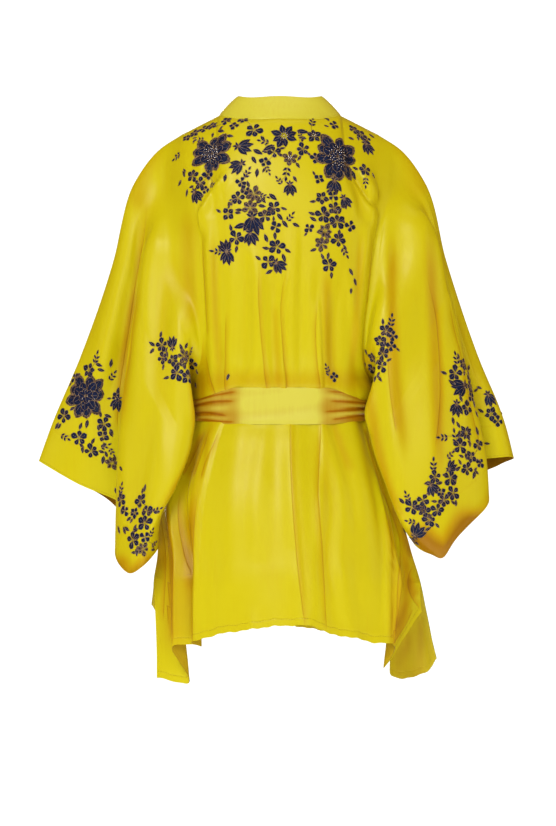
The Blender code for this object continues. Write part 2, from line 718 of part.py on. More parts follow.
def make_tail(name, column_top, column_bottom, material):
    """A hanging end of the sash, gathered at the knot: points of the left front, moved out."""
    grid = []
    for share in np.linspace(0, 1, TAIL_ROWS):
        height = TAIL_TOP + (TAIL_BOTTOM - TAIL_TOP) * share
        middle = column_top + (column_bottom - column_top) * share
        spread = min((TAIL_TOP - height) / TAIL_GATHER, 1.0)
        width = TAIL_WIDTHS[0] + (TAIL_WIDTHS[1] - TAIL_WIDTHS[0]) * spread * (2 - spread)
        before, after = (np.array(front_point("left", middle + step, height=height)) for step in (-0.05, 0.05))
        half_span = 0.05 * width / np.linalg.norm(after - before)
        columns = np.linspace(middle - half_span, middle + half_span, TAIL_COLUMNS + 1)
        grid.append([front_point("left", column, height=height) for column in columns])
    base = Panel(name, grid, material, flip=True)
    lift = np.linspace(*TAIL_LIFT, TAIL_ROWS)[:, None, None]
    return Panel(name, base.points + base.normals * lift, material, flip=True)


def clear_scene():
    for piece in list(bpy.data.objects):
        bpy.data.objects.remove(piece, do_unlink=True)


def main():
    clear_scene()
    cloth = satin(*SATIN)
    sash = satin(*SATIN_BELT)
    panels = [make_back(cloth), make_front("left", cloth), make_front("right", cloth)]
    panels.append(make_neck_band({panel.name: panel for panel in panels}, cloth))
    for side in ("left", "right"):
        panels += make_sleeve(side, cloth)
    sew(panels)
    panels.append(make_belt(sash))
    panels += [make_tail(*tail, sash) for tail in TAILS]
    for panel in panels:
        make_wall(panel)
    make_knot(sash)


main()
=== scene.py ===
"""The short satin kimono robe, dressed: fine cloth on the frame's solids, lace flowers, beads and sewing.

Sizes in the tables are millimetres, in the frame of the solids: +X is the wearer's left, -Y the front.
Places written as pixels are places in the picture's 556 x 826 frame, seen from the camera made here.
"""

import math
from functools import partial

import bpy
import numpy as np
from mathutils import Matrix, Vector
from mathutils.bvhtree import BVHTree


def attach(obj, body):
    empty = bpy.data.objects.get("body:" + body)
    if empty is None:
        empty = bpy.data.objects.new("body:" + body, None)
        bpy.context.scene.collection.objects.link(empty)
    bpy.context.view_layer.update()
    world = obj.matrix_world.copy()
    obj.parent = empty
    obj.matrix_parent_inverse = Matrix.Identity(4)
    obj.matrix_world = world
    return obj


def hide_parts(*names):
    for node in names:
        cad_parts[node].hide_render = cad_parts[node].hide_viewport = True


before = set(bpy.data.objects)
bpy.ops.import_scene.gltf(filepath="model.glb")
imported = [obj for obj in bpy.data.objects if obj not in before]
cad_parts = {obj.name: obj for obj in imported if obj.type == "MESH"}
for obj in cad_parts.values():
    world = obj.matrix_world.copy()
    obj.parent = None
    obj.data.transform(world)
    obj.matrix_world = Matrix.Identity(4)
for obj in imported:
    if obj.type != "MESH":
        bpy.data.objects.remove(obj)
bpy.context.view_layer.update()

MM = 0.001
SIDES = ("left", "right")
FAR = 1e6

# The camera: its place in mm, the distance at which a pixel is that many mm, and the picture's pixels
CAMERA = (2.8, 3600.0, -419.0)
SHARP_DISTANCE = 3500.0
MM_PER_PIXEL = 1.42
PICTURE_HEIGHT = 826
PICTURE_MIDDLE = (278.0, 413.0)

# The form that the solids have. A column runs across a panel and is 1 at its side or edge
NECK_HALF = 89.0
NECK_BACK = 62.0
NECK_RISE = 12.0
NECK_BASE = 3.0
NECK_COLUMN = 0.6
SHOULDER_HALF = 142.0
SHOULDER_DROP = 27.0
CAP_FOOT = -150.0
UNDERARM = -374.0
KNOWN_HEIGHTS = np.array((-409.0, -435.0, -470.0, -520.0))
SLIT_TOP = -640.0
HEM = -740.0
SECTION_POWER = 2.3
CAP_POWER = 1.9
BAND_WIDTH = 40.0
BAND_COLUMN = 1.35
BAND_LEAN_SIDE = 27.0
BAND_RISE_SIDE = 28.0
BAND_LEAN_BACK = 22.0
BAND_RISE_BACK = 36.0
BAND_ROLL = 1.6
WRAP_GAP = 5.0
SLEEVE_TOP_ROW = -391.0
CUFF_SEAM = 0.9075
RING_BACK = 18
RING_POINTS = 34
BELT_MIDDLE = -409.0
BELT_HALF_HEIGHT = 26.3
BELT_NARROWING = 11.0
BELT_SAG = 6.0
BELT_NARROW = (60.0, 126.0)
BELT_CLEARANCE = 0.9
BELT_WALL = 2.5
KNOT_X = -6.0
KNOT_GAP = 0.5
KNOT_HALF = (27.0, 13.0, 24.0)
KNOT_LEAN = math.radians(24)
KNOT_INSET = 1.5
KNOT_ROUNDNESS = 0.8
TAIL_TOP = -435.6
TAIL_BOTTOM = -706.0
TAIL_LIFT = (13.0, 2.2)
TAIL_WIDTHS = (24.0, 48.0)
TAIL_GATHER = 90.0
TAIL_SPAN = 0.05
TAILS = {"belt_tail_left": (0.755, 0.61), "belt_tail_right": (0.915, 1.02)}

# Thickness and fineness of the cloth
CLOTH = 0.7
BACK_COLUMNS = 160
FRONT_COLUMNS = 84
UPPER_ROWS = 96
LOWER_ROWS = 104
EVEN_ROWS = 0.55
RING_STEPS = 170
SLEEVE_ROWS = 136
CUFF_ROWS = 22
BAND_STEPS = (91, 17)
BELT_STEPS = 150
BELT_ROWS = 40
KNOT_ROWS = 72
KNOT_COLUMNS = 132
TAIL_ROWS = 110
TAIL_COLUMNS = 36

# Creases: the passes that soften them and their shade, and the width of the steep side of two kinds
BLUR_PASSES = 5
SHADE_PASSES = 2
STEEP_SHARE = {"edge": 0.22, "fold": 0.5}

# How a line is followed: its parts between two points, its reach by its width, and its fades by length
LINE_PARTS = 8
LINE_REACH = 1.2
FADES = (0.2, 0.8)
CRISP_FADES = (0.35, 0.88)
CRISP_REACH = 8.0
CRISP_FULL = 0.6

# Where creases are full: the turn to the camera and the distance from a border. Their share under the sash
FACING_FULL = 0.55
BORDER_FADE = 9
UNDER_SASH_SHARE = 0.08

# The sash in the picture, its margins in mm, and how far creases run on beneath it, in pixels and by length
SASH_PIXELS = (370, 427)
SASH_MARGIN = (-2, 5)
RUN_ON = 16
RUN_ON_SHARE = 0.2

# A gather's painted shade: half width in pixels and depth.
# Painted shade at the sash's ends: amount, start and end in mm
GATHER_SHADE = (1.3, 0.55)
SASH_END_SHADE = ((2.3, 46, 68), (1.1, 80, 122))

# Sewn cloths: how near and how alike in direction their edges are, and how they share shading row by row
SEAM_REACH = 2.5
SEAM_FACING = 0.2
SEAM_SHARES = (1.0, 0.7, 0.45, 0.25, 0.1)

# The swell above the sash: amount, start, full. The spring below it: amount, drop, reach
SWELL = (2.6, 50, 12)
SPRING = (1.4, 15, 22)

# Where the sides swing out: amount, height, reach, side, start, end. A kink to even out: height, reach
FLARES = ((9.0, -555, 85, 1, 110, 160), (-5.0, -387, 20, -1, 100, 126))
KINK = (-377.0, 30.0)

# The hem's ripples: how high they reach, their size and number. The painted shade where cloth turns away
HEM_REACH = 34
HEM_SIZE = 1.1
RIPPLES = {"back": 9, "front": 6}
TURNED_SHADE = 0.55

# Painted shade: where cloth turns away from the camera, and where it hangs low, in mm: start and full
TURNED_AWAY = (-0.85, -0.4)
HANGS_LOW = (290, 350)

# The sash, in mm from its middle: where its gathers start and are full. How far its edges round in
SASH_GATHERED = (55, 125)
SASH_ROUNDING = 0.7

# The knot's turn of cloth, in mm from its middle line: its edge and where it is full. The knot's poles,
# as shares of the way from its top to its foot
KNOT_TURN = (15, 12)
KNOT_POLES = (0.05, 0.95)

# What each grid point of a cloth keeps for its material: how far it was raised, which the material paints as
# shade in troughs and which the sash lowers further to paint shade at its ends, its painted shade from 0 to
# 2, the signed distance to a crisp line times its nearness, and that nearness
TRACES = ("raised", "tone", "crisp", "crisp_near")


def rows_of(text):
    """The numbers of a table that is written a row to a line."""
    return np.array([row.split() for row in text.strip().splitlines()], float)


# The body's sections in mm, from the top down
TORSO_COLUMNS = ("height", "half_width", "back_depth", "front_depth",
                 "armhole_left", "armhole_right", "front_edge")
TORSO = rows_of("""
    20 165 100 90 143 143 92
    -12 162 102 92 142 142 84
    -60 158 104 94 133 141 69
    -100 155 105 96 126 143 52
    -150 153 106 99 118 140 33
    -200 151 106 107 114 133 14
    -260 147 103 104 111 126 -6
    -320 141 99 97 111 121 -20
    -355 135 98 93 118 124 -27
    -374 131 97 91 131 131 -30
    -391 130 92.5 89 130 130 -31
    -409 129.5 91 88 129.5 129.5 -32
    -435 131 92.5 90 131 131 -34
    -470 141 105 98 141 141 -36
    -520 158 121 110 158 158 -38""")

# The skirt's lines: column, point at the slit's top, point at the hem
BACK_LINES = rows_of("""
    1.0 180 16 -640 178 30 -803
    0.867 149 54 -640 130 48 -806
    0.733 152 79 -638 155 77 -754
    0.6 115 86 -636 112 84 -751
    0.533 122 103 -633 125 102 -746
    0.4 92 119 -634 94 124 -733
    0.2 48 136 -630 45 146 -723
    0.0 0 142 -628 -1 152 -717
    -0.2 -50 141 -631 -54 152 -720
    -0.267 -66 134 -631 -70 141 -729
    -0.4 -98 125 -633 -101 129 -735
    -0.533 -132 107 -636 -132 110 -744
    -0.667 -169 86 -637 -164 91 -751
    -0.8 -160 66 -640 -150 68 -784
    -1.0 -198 17 -643 -205 28 -706""")

FRONT_LINES = {
    "left": rows_of("""
        0.0 180 16 -640 187 -4 -700
        0.15 170 -42 -640 173 -46 -727
        0.3 146 -82 -640 146 -84 -748
        0.45 114 -113 -640 124 -126 -748
        0.6 80 -127 -640 84 -133 -740
        0.8 22 -140 -640 22 -150 -732
        1.0 -40 -136 -640 -44 -144 -728
        1.35 -80 -125 -640 -84 -132 -727"""),
    "right": rows_of("""
        0.0 -198 17 -643 -228 2 -778
        0.083 -196 -16 -642 -218 -40 -800
        0.167 -186 -44 -640 -190 -56 -812
        0.25 -168 -62 -640 -164 -60 -806
        0.333 -152 -84 -640 -176 -92 -769
        0.5 -108 -106 -640 -126 -118 -752
        0.667 -64 -119 -640 -70 -122 -748
        0.833 -14 -130 -640 -14 -138 -740
        1.0 40 -127 -640 44 -131 -731
        1.35 80 -115 -640 84 -120 -729"""),
}

# The sleeves' lines: place round the sleeve, then a point for each station along it
SLEEVE_STATIONS = (0.08, 0.19, 0.41, 0.69, CUFF_SEAM, 1.0)
SLEEVE_LINES = {
    "left": rows_of("""
        0 177 -2 -35 212 -5 -81 243 -12 -195 292 -18 -335 336 -22 -441 354 -25 -490
        3 170 14 -62 202 10 -116 227 10 -218 261 10 -365 286 5 -476 298 0 -521
        6 160 28 -105 191 22 -150 204 14 -240 208 4 -398 212 0 -522 214 -4 -564
        9 146 54 -178 181 38 -178 208 38 -266 232 42 -446 237 46 -566 238 46 -617
        12 131 68 -248 155 64 -250 175 70 -352 191 86 -507 212 86 -600 218 80 -647
        15 125 70 -320 134 76 -322 143 87 -422 160 102 -521 188 98 -599 195 92 -637
        18 150 18 -384 127 62 -407 125 76 -458 147 88 -523 172 80 -578 175 70 -614
        22 130 -56 -310 146 -40 -345 164 2 -415 180 36 -512 190 16 -583 197 8 -620
        26 138 -68 -186 170 -68 -222 208 -62 -330 232 -58 -440 240 -58 -520 246 -54 -555
        30 158 -36 -80 190 -40 -135 229 -50 -250 267 -55 -385 300 -55 -478 305 -50 -519"""),
    "right": rows_of("""
        0 -177 -2 -35 -211 -5 -81 -243 -12 -195 -289 -18 -331 -332 -22 -438 -344 -25 -485
        3 -172 14 -58 -209 10 -100 -241 8 -211 -284 8 -356 -316 0 -437 -322 -6 -484
        6 -166 30 -98 -208 22 -122 -235 15 -232 -247 2 -371 -248 -6 -451 -250 -8 -497
        9 -156 50 -162 -202 38 -148 -243 37 -248 -277 41 -386 -299 45 -493 -302 45 -542
        12 -146 64 -238 -179 64 -222 -203 70 -324 -228 86 -450 -245 88 -543 -255 86 -597
        15 -132 72 -322 -146 78 -328 -157 88 -404 -178 104 -511 -206 100 -589 -228 92 -628
        18 -148 22 -384 -125 64 -404 -130 77 -456 -149 90 -517 -176 86 -583 -194 68 -609
        22 -134 -56 -310 -148 -42 -345 -166 0 -415 -188 38 -512 -212 24 -580 -224 18 -612
        26 -148 -66 -186 -176 -68 -222 -210 -62 -325 -242 -58 -430 -268 -58 -492 -277 -52 -525
        30 -162 -34 -80 -192 -38 -130 -230 -50 -240 -270 -55 -370 -318 -52 -452 -324 -46 -496"""),
}

# Soft folds: column at top and bottom, top, bottom, half width, height. A sleeve's columns are
# places round it, and its top and bottom are shares of its length
BACK_FOLDS = rows_of("""
    0.62 0.8 -40 -150 0.13 -5
    0.84 0.82 -60 -350 0.14 4
    0.3 0.26 -190 -381 0.12 5
    -0.12 -0.1 -150 -381 0.11 4
    -0.5 -0.42 -210 -381 0.13 4
    -0.62 -0.8 -70 -160 0.13 -6
    -0.84 -0.82 -60 -350 0.14 4
    0.53 0.53 -440 -640 0.09 3
    0.64 0.61 -440 -660 0.1 -9
    0.12 0.12 -440 -640 0.1 3
    -0.1 -0.1 -440 -620 0.1 3
    -0.27 -0.27 -440 -700 0.09 -6
    -0.66 -0.66 -440 -640 0.09 3
    -0.78 -0.78 -440 -660 0.1 -9""")

SLEEVE_FOLDS = rows_of("""
    4.5 7.0 0.05 0.55 2.6 -6
    8.5 9.5 0.04 0.4 2.6 5
    11.0 12.0 0.03 0.5 2.4 -5
    14.0 14.0 0.02 0.45 2.4 5
    29.0 27.0 0.08 0.8 2.6 -7
    25.5 24.5 0.1 0.85 2.4 6""")

# Creases that the picture shows: kind, half width in pixels, height in mm, and the line in pixels.
# A soft one is round, a fold and an edge fall away steeply on the line's right, a line is a crisp one drawn
# as a painted dark line with painted shadow on the side its height's sign gives, a gather is a soft one with
# painted shade at its foot, and a shade is painted shade only, a deeper colour
CREASES = {
    "back": """
        edge 11 5.5 228 168 219 182 209 195 200 212 198 240
        soft 9 -3.5 214 176 204 190 197 206
        soft 8 3.0 207 215 209 285 214 372
        soft 6 -2.2 216 232 217 300 221 374
        soft 13 2.6 232 250 230 320 226 385
        soft 9 -1.9 246 240 244 310 240 386
        soft 9 3.0 260 250 262 300 267 386
        soft 9 -2.0 275 262 274 320 277 386
        edge 13 3.0 285 386 284 300 291 262
        soft 4 -1.1 299 190 301 240 302 300 299 384
        soft 9 2.4 309 255 309 320 310 386
        edge 12 3.2 321 386 320 340 318 292
        soft 11 -3.0 330 262 333 320 334 380
        soft 9 2.8 347 255 355 320 367 386
        edge 12 -5.5 350 168 359 186 368 200 379 210 384 220
        soft 9 4.5 360 170 370 184 377 200 374 235
        soft 8 2.6 372 222 366 290 357 356
        soft 6 -2.4 362 226 357 290 350 350
        soft 10 3.0 250 112 290 122 330 112
        shade 18 0.55 204 386 250 380 290 382 330 380 370 386
        shade 9 0.66 326 262 328 320 330 372
        shade 6 0.49 275 300 277 345 279 380
        shade 6 0.55 213 232 215 300 220 372
        shade 6 0.6 362 226 358 290 351 372
        shade 5 0.2 296 424 296 470 301 537 310 634
        shade 22 0.5 177 500 177 580 176 664
        shade 5 0.25 325 424 326 475 323 513 327 587 331 636
        shade 6 0.6 334 424 342 447 353 476
        shade 6 0.5 216 424 203 470 194 520 189 587 188 645
        shade 4 0.5 173 492 172 537 170 650
        shade 10 1.1 373 430 388 475 405 535
        shade 9 0.65 194 430 182 462 172 486 165 512
        shade 7 0.6 199 326 201 360 203 396
        shade 6 0.5 372 326 370 360 368 396
        shade 6 0.71 386 500 393 560 392 645
        edge 14 3.0 192 645 194 587 198 520 207 472 222 424
        soft 9 -3.2 196 432 190 470 188 520 186 590
        edge 8 1.8 173 650 174 590 175.5 537 178 486
        soft 20 3.2 240 424 234 480 228 560 224 625
        soft 6 1.2 267 420 264 447 267 500
        soft 16 -2.0 274 440 270 500 272 610
        edge 17 2.2 306 634 297 537 292 470 292 420
        edge 15 2.4 321 424 322 475 319 513 323 587 327 636
        soft 14 3.2 322 480 330 537 342 580 347 632
        soft 7 -3.0 330 424 338 447 349 480 358 540
        soft 15 3.0 352 424 362 470 370 540 371 630
        edge 14 3.2 365 420 373 450 397 513 399 587 394 650
        soft 8 -3.5 361 424 377 480 386 540 385 630
        soft 5 -1.8 199 424 205 450 200 480
        edge 9 4.0 389 650 390 590 390 540 380 490 372 455
        soft 6 1.5 212 424 210 450 203 490
        soft 9 -1.6 309 424 310 480 313 580
        shade 5 0.8 161 512 161 550 158 575
        shade 6 0.6 184 540 188 560 191 592
        shade 4 0.6 194 484 192 520 190 560 189 610
        shade 6 0.7 203 430 194 455 188 480
        shade 6 1.1 400 528 406 544 411 558
        shade 5 0.8 402 546 406 574 403 610 396 642
        shade 6 1.2 411 576 411 586 417 598
        line 10 1 183 480 176 492 175 520 173.6 580 173 648
        line 10 1 176 484 169 502 167 540 165.6 576 163 624
        line 10 -1 183 486 182 510 183 540 186 560 193 578
        line 10 1 200 484 196 520 194.4 560 193 600 192.4 648
        line 10 -1 221 428 214 446 206 462 201 480
        line 10 1 213 428 207 440 199 462 193 478
        line 10 1 206 430 199 444 190 462 184 476
        line 10 -1 363 424 371 452 386 500 397 531 397 590 394 648
        line 10 -1 415 562 408 575 407 584 411 596 420 609
        line 10 1 415 603 409 618 401 632 391 647
        shade 7 0.7 409 596 404 612 397 628 388 643
        line 10 -1 290.4 424 291 470 296.5 555 305.7 636
        line 10 1 321 424 319 470 318 494 322 560 327 640
        line 10 -1 260 255 258 285 260 330 267 388
        line 10 -1 290 262 284 282 281 303 283 345 286 388
        line 10 1 318 295 316 327 320 388
        line 10 -1 227 303 226 327 226 388
        line 10 1 205 350 209 368 215 388
        line 10 -1 203 228 203 260 206 300 208 340
        line 10 1 371 228 371 262 368 300 365 345""",
    "sleeve_left": """
        soft 14 -4.6 146 190 134 262 122 345 115 400
        soft 15 3.2 160 186 152 262 142 350 136 440
        soft 14 -2.4 166 200 172 255 186 305 198 350
        soft 9 1.4 187 200 194 255 200 320
        soft 15 3.4 134 200 120 270 104 340 90 410
        soft 12 -4.0 128 330 112 390 96 440
        soft 13 -1.8 152 400 141 470 133 535
        soft 13 1.6 165 415 155 470 146 530
        soft 9 2.0 128 420 124 480 123 545
        soft 13 -1.4 172 345 174 400 164 455
        shade 17 1.5 114 552 128 576 144 568 158 553
        shade 8 0.88 119 430 124 385 130 330 139 280
        shade 8 0.99 191 340 195 400 196 440 187 468 170 497 157 516
        shade 18 0.49 158 140 144 168 136 215
        shade 13 0.5 187 205 189 270 192 335
        line 10 1 149 195 138 272 126 351 119 400 117 440""",
    "sleeve_right": """
        soft 17 -10.2 412 552 438 568 464 544 492 508
        soft 10 5.1 452 330 462 400 464 470
        soft 12 -5.8 456 300 474 360 490 420
        fold 24 5.5 437 510 432 400 426 310 420 180
        fold 17 5.5 404 485 392 400 387 330 386 200
        soft 8 3.5 440 290 446 380 449 470
        soft 12 2.0 410 190 413 300 414 420
        shade 9 0.95 428 225 434 340 437 420 439 490
        shade 8 0.95 392 225 393 330 398 400 407 465
        shade 26 2.6 408 524 428 548 446 556 464 534 480 506
        shade 9 0.88 374 330 367 380 373 420 386 480 408 535
        shade 22 0.49 396 130 416 160 428 200
        shade 15 0.7 466 542 486 512 508 476
        line 10 -1 424 270 434 310 438 350 439 400 434 450
        line 10 -1 390 300 388 340 391 400 397 436
        line 10 1 446 284 458 345 470 405 482 450""",
    "front_right": """
        soft 5 2.5 425 606 427 640 428 672
        soft 5 -2.5 417 620 418 650 415 680
        soft 5 2.0 408 640 408 660 404 680
        shade 4 0.8 421 612 421 640 420 672
        shade 6 1.0 412 630 405 650 394 668
        shade 4 0.7 392 668 405 676 426 672""",
    "front_left": """
        shade 5 0.8 182 650 186 665 190 682""",
    "belt": """
        gather 2.6 -1.5 192 402 212 396 238 391
        gather 2.4 1.2 192 399 205 394 226 390
        gather 2.6 1.3 191 405 214 399 243 396
        gather 2.4 -1.3 191 407 212 402 236 401
        gather 2.6 1.2 191 409 210 407 230 408
        gather 2.6 -1.5 191 413 208 413 228 416
        gather 2.4 1.2 193 417 210 417 232 420
        gather 2.4 -1.2 196 419 214 421 236 422
        gather 2.6 -1.5 374 399 355 394 326 391
        gather 2.6 1.3 374 401 352 398 322 395
        gather 2.6 -1.4 374 404 352 402 328 401
        gather 2.4 1.2 374 406 354 406 330 408
        gather 2.6 -1.5 374 408 350 410 322 412
        gather 2.4 1.3 374 411 352 413 326 416
        gather 2.4 -1.3 372 414 352 417 330 420""",
}

FRONT_FOLDS = {
    "left": rows_of("""
        0.2 0.28 -40 -372 0.1 5
        0.36 0.4 -70 -378 0.08 -4
        0.52 0.5 -120 -380 0.09 4
        0.68 0.62 -170 -380 0.07 -3
        0.8 0.74 -210 -380 0.07 3
        0.08 0.14 -180 -378 0.07 -4
        0.3 0.22 -430 -650 0.08 -6
        0.16 0.12 -430 -700 0.07 4
        0.46 0.45 -430 -735 0.08 4
        0.6 0.62 -430 -735 0.07 -4
        0.72 0.76 -430 -735 0.06 3
        0.88 0.9 -430 -700 0.06 -3"""),
    "right": rows_of("""
        0.24 0.3 -50 -372 0.1 5
        0.4 0.42 -90 -378 0.08 -4
        0.56 0.52 -130 -380 0.09 4
        0.1 0.16 -180 -378 0.07 -4
        0.72 0.66 -180 -380 0.07 3
        0.86 0.8 -220 -380 0.06 -3
        0.34 0.33 -430 -660 0.07 -6
        0.22 0.18 -430 -640 0.06 4
        0.5 0.5 -430 -735 0.08 4
        0.66 0.66 -430 -735 0.07 -4
        0.8 0.82 -430 -735 0.06 4
        0.08 0.06 -430 -700 0.05 -3"""),
}

# Lace motifs in pixels. "f": flower x, y, size, petals, beads. "l": leaf and "s": sprig and "t": tulip,
# each x, y, size, angle. "p": peony x, y, size, angle, squash, beads. Angles turn clockwise from +x
LACE = {
    "yoke": """
        f 187 138 5.5 5 0; f 195 133 6 5 0; f 204 129 6 4 0; f 212 126 6.5 5 0; s 200 140 10 200;
        f 226 121 6 5 0; f 234 126 5.5 4 0; f 243 120 6 5 0; l 221 131 9 30; l 230 136 8 20;
        f 254 130 9 5 0; f 284 136 13.5 8 9; s 264 142 11 200; f 274 152 6.5 4 0; s 312 122 12 280;
        f 314 136 8 5 5; f 303 149 7 5 0; f 316 158 6 5 0; s 300 136 8 250; f 290 158 7.5 6 5;
        s 287 173 13 100; t 290 190 7 88; s 279 181 9 235; l 295 179 7 60; t 245 147 9 10; l 258 152 11 30;
        l 254 160 9 60; f 265 162 6 4 0; s 268 170 9 70; l 257 173 9 95; p 213 154 24 12 0.86 34;
        t 236 167 8 150; l 225 178 8 100; s 177 157 12 172; f 193 176 7 5 0; f 200 183 6.5 5 0;
        f 208 175 6 4 0; l 184 174 8 240; l 180 183 8 135; s 213 185 10 50; t 197 197 7.5 60;
        l 187 193 8 110; f 205 190 5 4 0; s 247 173 11 300; f 241 182 5.5 4 0; f 245 190 5.5 4 0;
        f 238 198 7 5 0; f 254 194 8 6 0; s 264 196 9 20; l 273 197 10 40; f 250 208 8 6 0; l 262 206 8 10;
        f 274 208 7 5 0; s 231 203 9 120; f 228 214 7 4 0; l 280 217 9 50; l 285 224 9 52; s 290 217 10 310;
        l 296 225 8 25; f 265 216 7 5 0; t 253 226 11 85; l 240 226 13 165; f 276 227 6 4 0; l 275 236 8 85;
        f 236 238 8 5 0; t 251 239 8 80; l 266 238 9 250; f 277 247 8 5 0; t 225 246 7.5 250;
        s 217 252 11 190; t 227 258 8 95; f 268 262 7.5 4 0; l 284 258 9 70; t 280 267 7.5 50;
        l 269 272 8 150; l 327 119 9 60; f 334 125 5.5 4 0; f 354 130 6.5 5 0; f 361 135 7.5 5 0;
        f 367 140 5.5 4 0; t 368 149 8 60; p 337 157 23 22 1.16 34; f 365 170 7 5 0; s 366 182 10 95;
        f 319 179 5.5 4 0; t 334 187 8.5 95; l 353 175 11 60; f 322 198 7 5 0; f 333 196 5.5 4 0;
        f 334 208 6.5 5 0; t 346 203 7 60; f 323 215 8 5 0; f 337 222 8 5 0; l 313 219 8 210;
        f 309 228 5 4 0; f 350 226 6 4 0; f 325 231 8 6 0; f 338 240 7.5 5 0; f 322 244 7.5 6 0;
        s 345 252 11 60; l 328 256 7 100; f 329 265 7.5 5 0; l 351 272 8 60; l 355 282 8 70; l 351 291 6 95;
        s 327 369 9 250; f 334 377 5 4 0; l 228 377 7 110""",
    "sleeve_left": """
        f 89 370 8.5 5 0; s 96 358 12 290; l 99 365 8 20; l 111 363 9 280; s 112 376 11 310;
        f 75 378 5.5 4 0; p 86 396 25 25 0.96 6; f 64 416 8 5 0; l 57 426 8 125; l 87 424 9 100;
        f 104 424 7.5 5 0; l 108 416 8 20; f 103 436 6.5 4 0; l 111 434 7 60; f 79 438 8.5 5 0;
        s 65 437 11 30; l 93 441 7 300; f 91 451 7.5 5 0; s 105 446 10 340; l 103 460 9 100; s 112 452 9 60;
        f 112 463 7.5 6 0; t 117 405 7.5 100; l 118 391 8 280; f 116 397 5 4 0; f 162 345 7.5 5 0;
        l 152 344 8 215; l 152 351 7 130; t 172 342 7 265; f 163 358 6.5 5 0; f 173 360 6.5 5 0;
        f 184 356 7.5 6 0; l 181 347 7 250; s 190 352 9 310; f 192 364 6.5 4 0; f 177 373 8 5 0;
        f 188 377 8 5 0; s 121 489 11 290; f 121 500 7.5 5 0; l 145 488 8 285; f 141 501 7.5 5 0;
        f 125 511 5.5 4 0; f 135 513 6 5 0; f 147 511 6.5 4 0; s 157 510 10 340; l 129 519 7 150;
        f 145 523 8.5 5 0; l 127 529 8 30; l 135 528 8 300; f 133 540 9 5 0; f 145 537 6 4 0;
        l 119 530 9 60; f 143 549 7 6 0; s 151 533 9 300; s 154 544 9 350""",
    "sleeve_right": """
        s 391 321 12 280; f 386 331 7 5 0; f 393 336 5.5 4 0; f 380 341 6.5 5 0; f 391 346 5.5 4 0;
        f 383 354 7 5 0; f 373 358 6.5 5 0; f 382 366 6.5 4 0; f 373 369 6.5 5 0; l 375 379 7 110;
        l 380 379 7 50; s 456 359 12 260; f 463 364 6.5 5 0; f 455 373 8 5 0; t 459 388 10 155;
        l 452 383 10 215; f 469 377 6.5 4 0; f 470 387 6.5 5 0; f 471 397 6 4 0; l 474 404 8 70;
        t 456 410 8 95; f 467 408 8 4 0; l 453 421 8 80; f 466 433 8 8 0; s 455 437 13 260;
        f 460 446 8.5 5 0; s 443 438 12 180; l 477 431 9 250; f 478 445 6.5 4 0; s 450 455 10 320;
        f 471 457 7 5 0; f 480 463 5.5 4 0; f 467 469 7 5 0; l 474 475 9 110; t 452 466 6.5 320;
        f 450 478 8.5 5 0; s 433 465 12 275; f 435 477 7 5 0; t 433 490 7.5 60; f 441 492 5 4 0;
        f 453 493 7.5 5 0; f 444 500 7 5 0; s 407 497 10 250; f 412 507 8.5 5 0; f 423 500 6.5 4 0;
        f 424 511 7 5 0; f 437 510 7 5 0; f 429 520 7 5 0; s 411 522 10 190; l 404 530 10 215;
        t 418 531 9 300; f 414 541 6.5 4 0; l 428 529 7 330; t 491 400 8 60; f 491 414 7.5 5 0;
        f 498 421 6 4 0""",
}


def smooth(keys, values, at):
    """A smooth curve through the values at rising keys, read at each number of at."""
    keys, values, at = (np.asarray(part, float) for part in (keys, values, at))
    flat = values.reshape(len(keys), -1)
    steps = np.diff(keys)[:, None]
    slopes = np.diff(flat, axis=0) / steps
    inner = (slopes[:-1] * steps[1:] + slopes[1:] * steps[:-1]) / (steps[:-1] + steps[1:])
    tangents = np.concatenate([slopes[:1], inner, slopes[-1:]])
    at_flat = np.clip(at.ravel(), keys[0], keys[-1])
    k = np.clip(np.searchsorted(keys, at_flat, side="right") - 1, 0, len(keys) - 2)
    step = steps[k]
    q = (at_flat[:, None] - keys[k][:, None]) / step
    read = ((1 + 2 * q) * (1 - q) ** 2 * flat[k] + q * (1 - q) ** 2 * step * tangents[k]
            + q * q * (3 - 2 * q) * flat[k + 1] + q * q * (q - 1) * step * tangents[k + 1])
    return read.reshape(at.shape + values.shape[1:])


def soft(at, start, end):
    """Rises softly from 0 at start to 1 at end."""
    q = np.clip((np.asarray(at, float) - start) / (end - start), 0, 1)
    return q * q * (3 - 2 * q)


def bump(at, centre, half_width):
    """Rises softly from 0 at half_width from the centre to 1 there."""
    return np.cos(np.clip((at - centre) / half_width, -1, 1) * math.pi / 2) ** 2


def eased(share):
    """Shares from 0 to 1 that are closer together near both ends."""
    return (1 - np.cos(math.pi * share)) / 2


def unit(vectors):
    """The vectors at length 1."""
    return vectors / np.maximum(np.linalg.norm(vectors, axis=-1, keepdims=True), 1e-9)


def along(line):
    """The length of a line up to each of its points."""
    return np.concatenate([[0], np.cumsum(np.linalg.norm(np.diff(line, axis=0), axis=1))])


def torso(column, height):
    return smooth(-TORSO[:, 0], TORSO[:, TORSO_COLUMNS.index(column)], -np.asarray(height, float))


def section_angle(share):
    """The angle at which the body's section is this share of its half width across."""
    powered = np.minimum(np.abs(share), 0.9999999) ** SECTION_POWER
    angle = np.arctan((powered / (1 - powered)) ** (1 / SECTION_POWER))
    return np.copysign(np.where(np.abs(share) < 0.999999, angle, math.pi / 2), share)


def section(angle, half_width, depth):
    """Points on the body's section, between an ellipse and a box."""
    sine, cosine = np.sin(angle), np.maximum(np.cos(angle), 0)
    size = (np.abs(sine) ** SECTION_POWER + cosine ** SECTION_POWER) ** (1 / SECTION_POWER)
    return half_width * sine / size, depth * cosine / size


def shoulder_height(across):
    return NECK_BASE + NECK_RISE - SHOULDER_DROP * (across - NECK_HALF) / (SHOULDER_HALF - NECK_HALF)


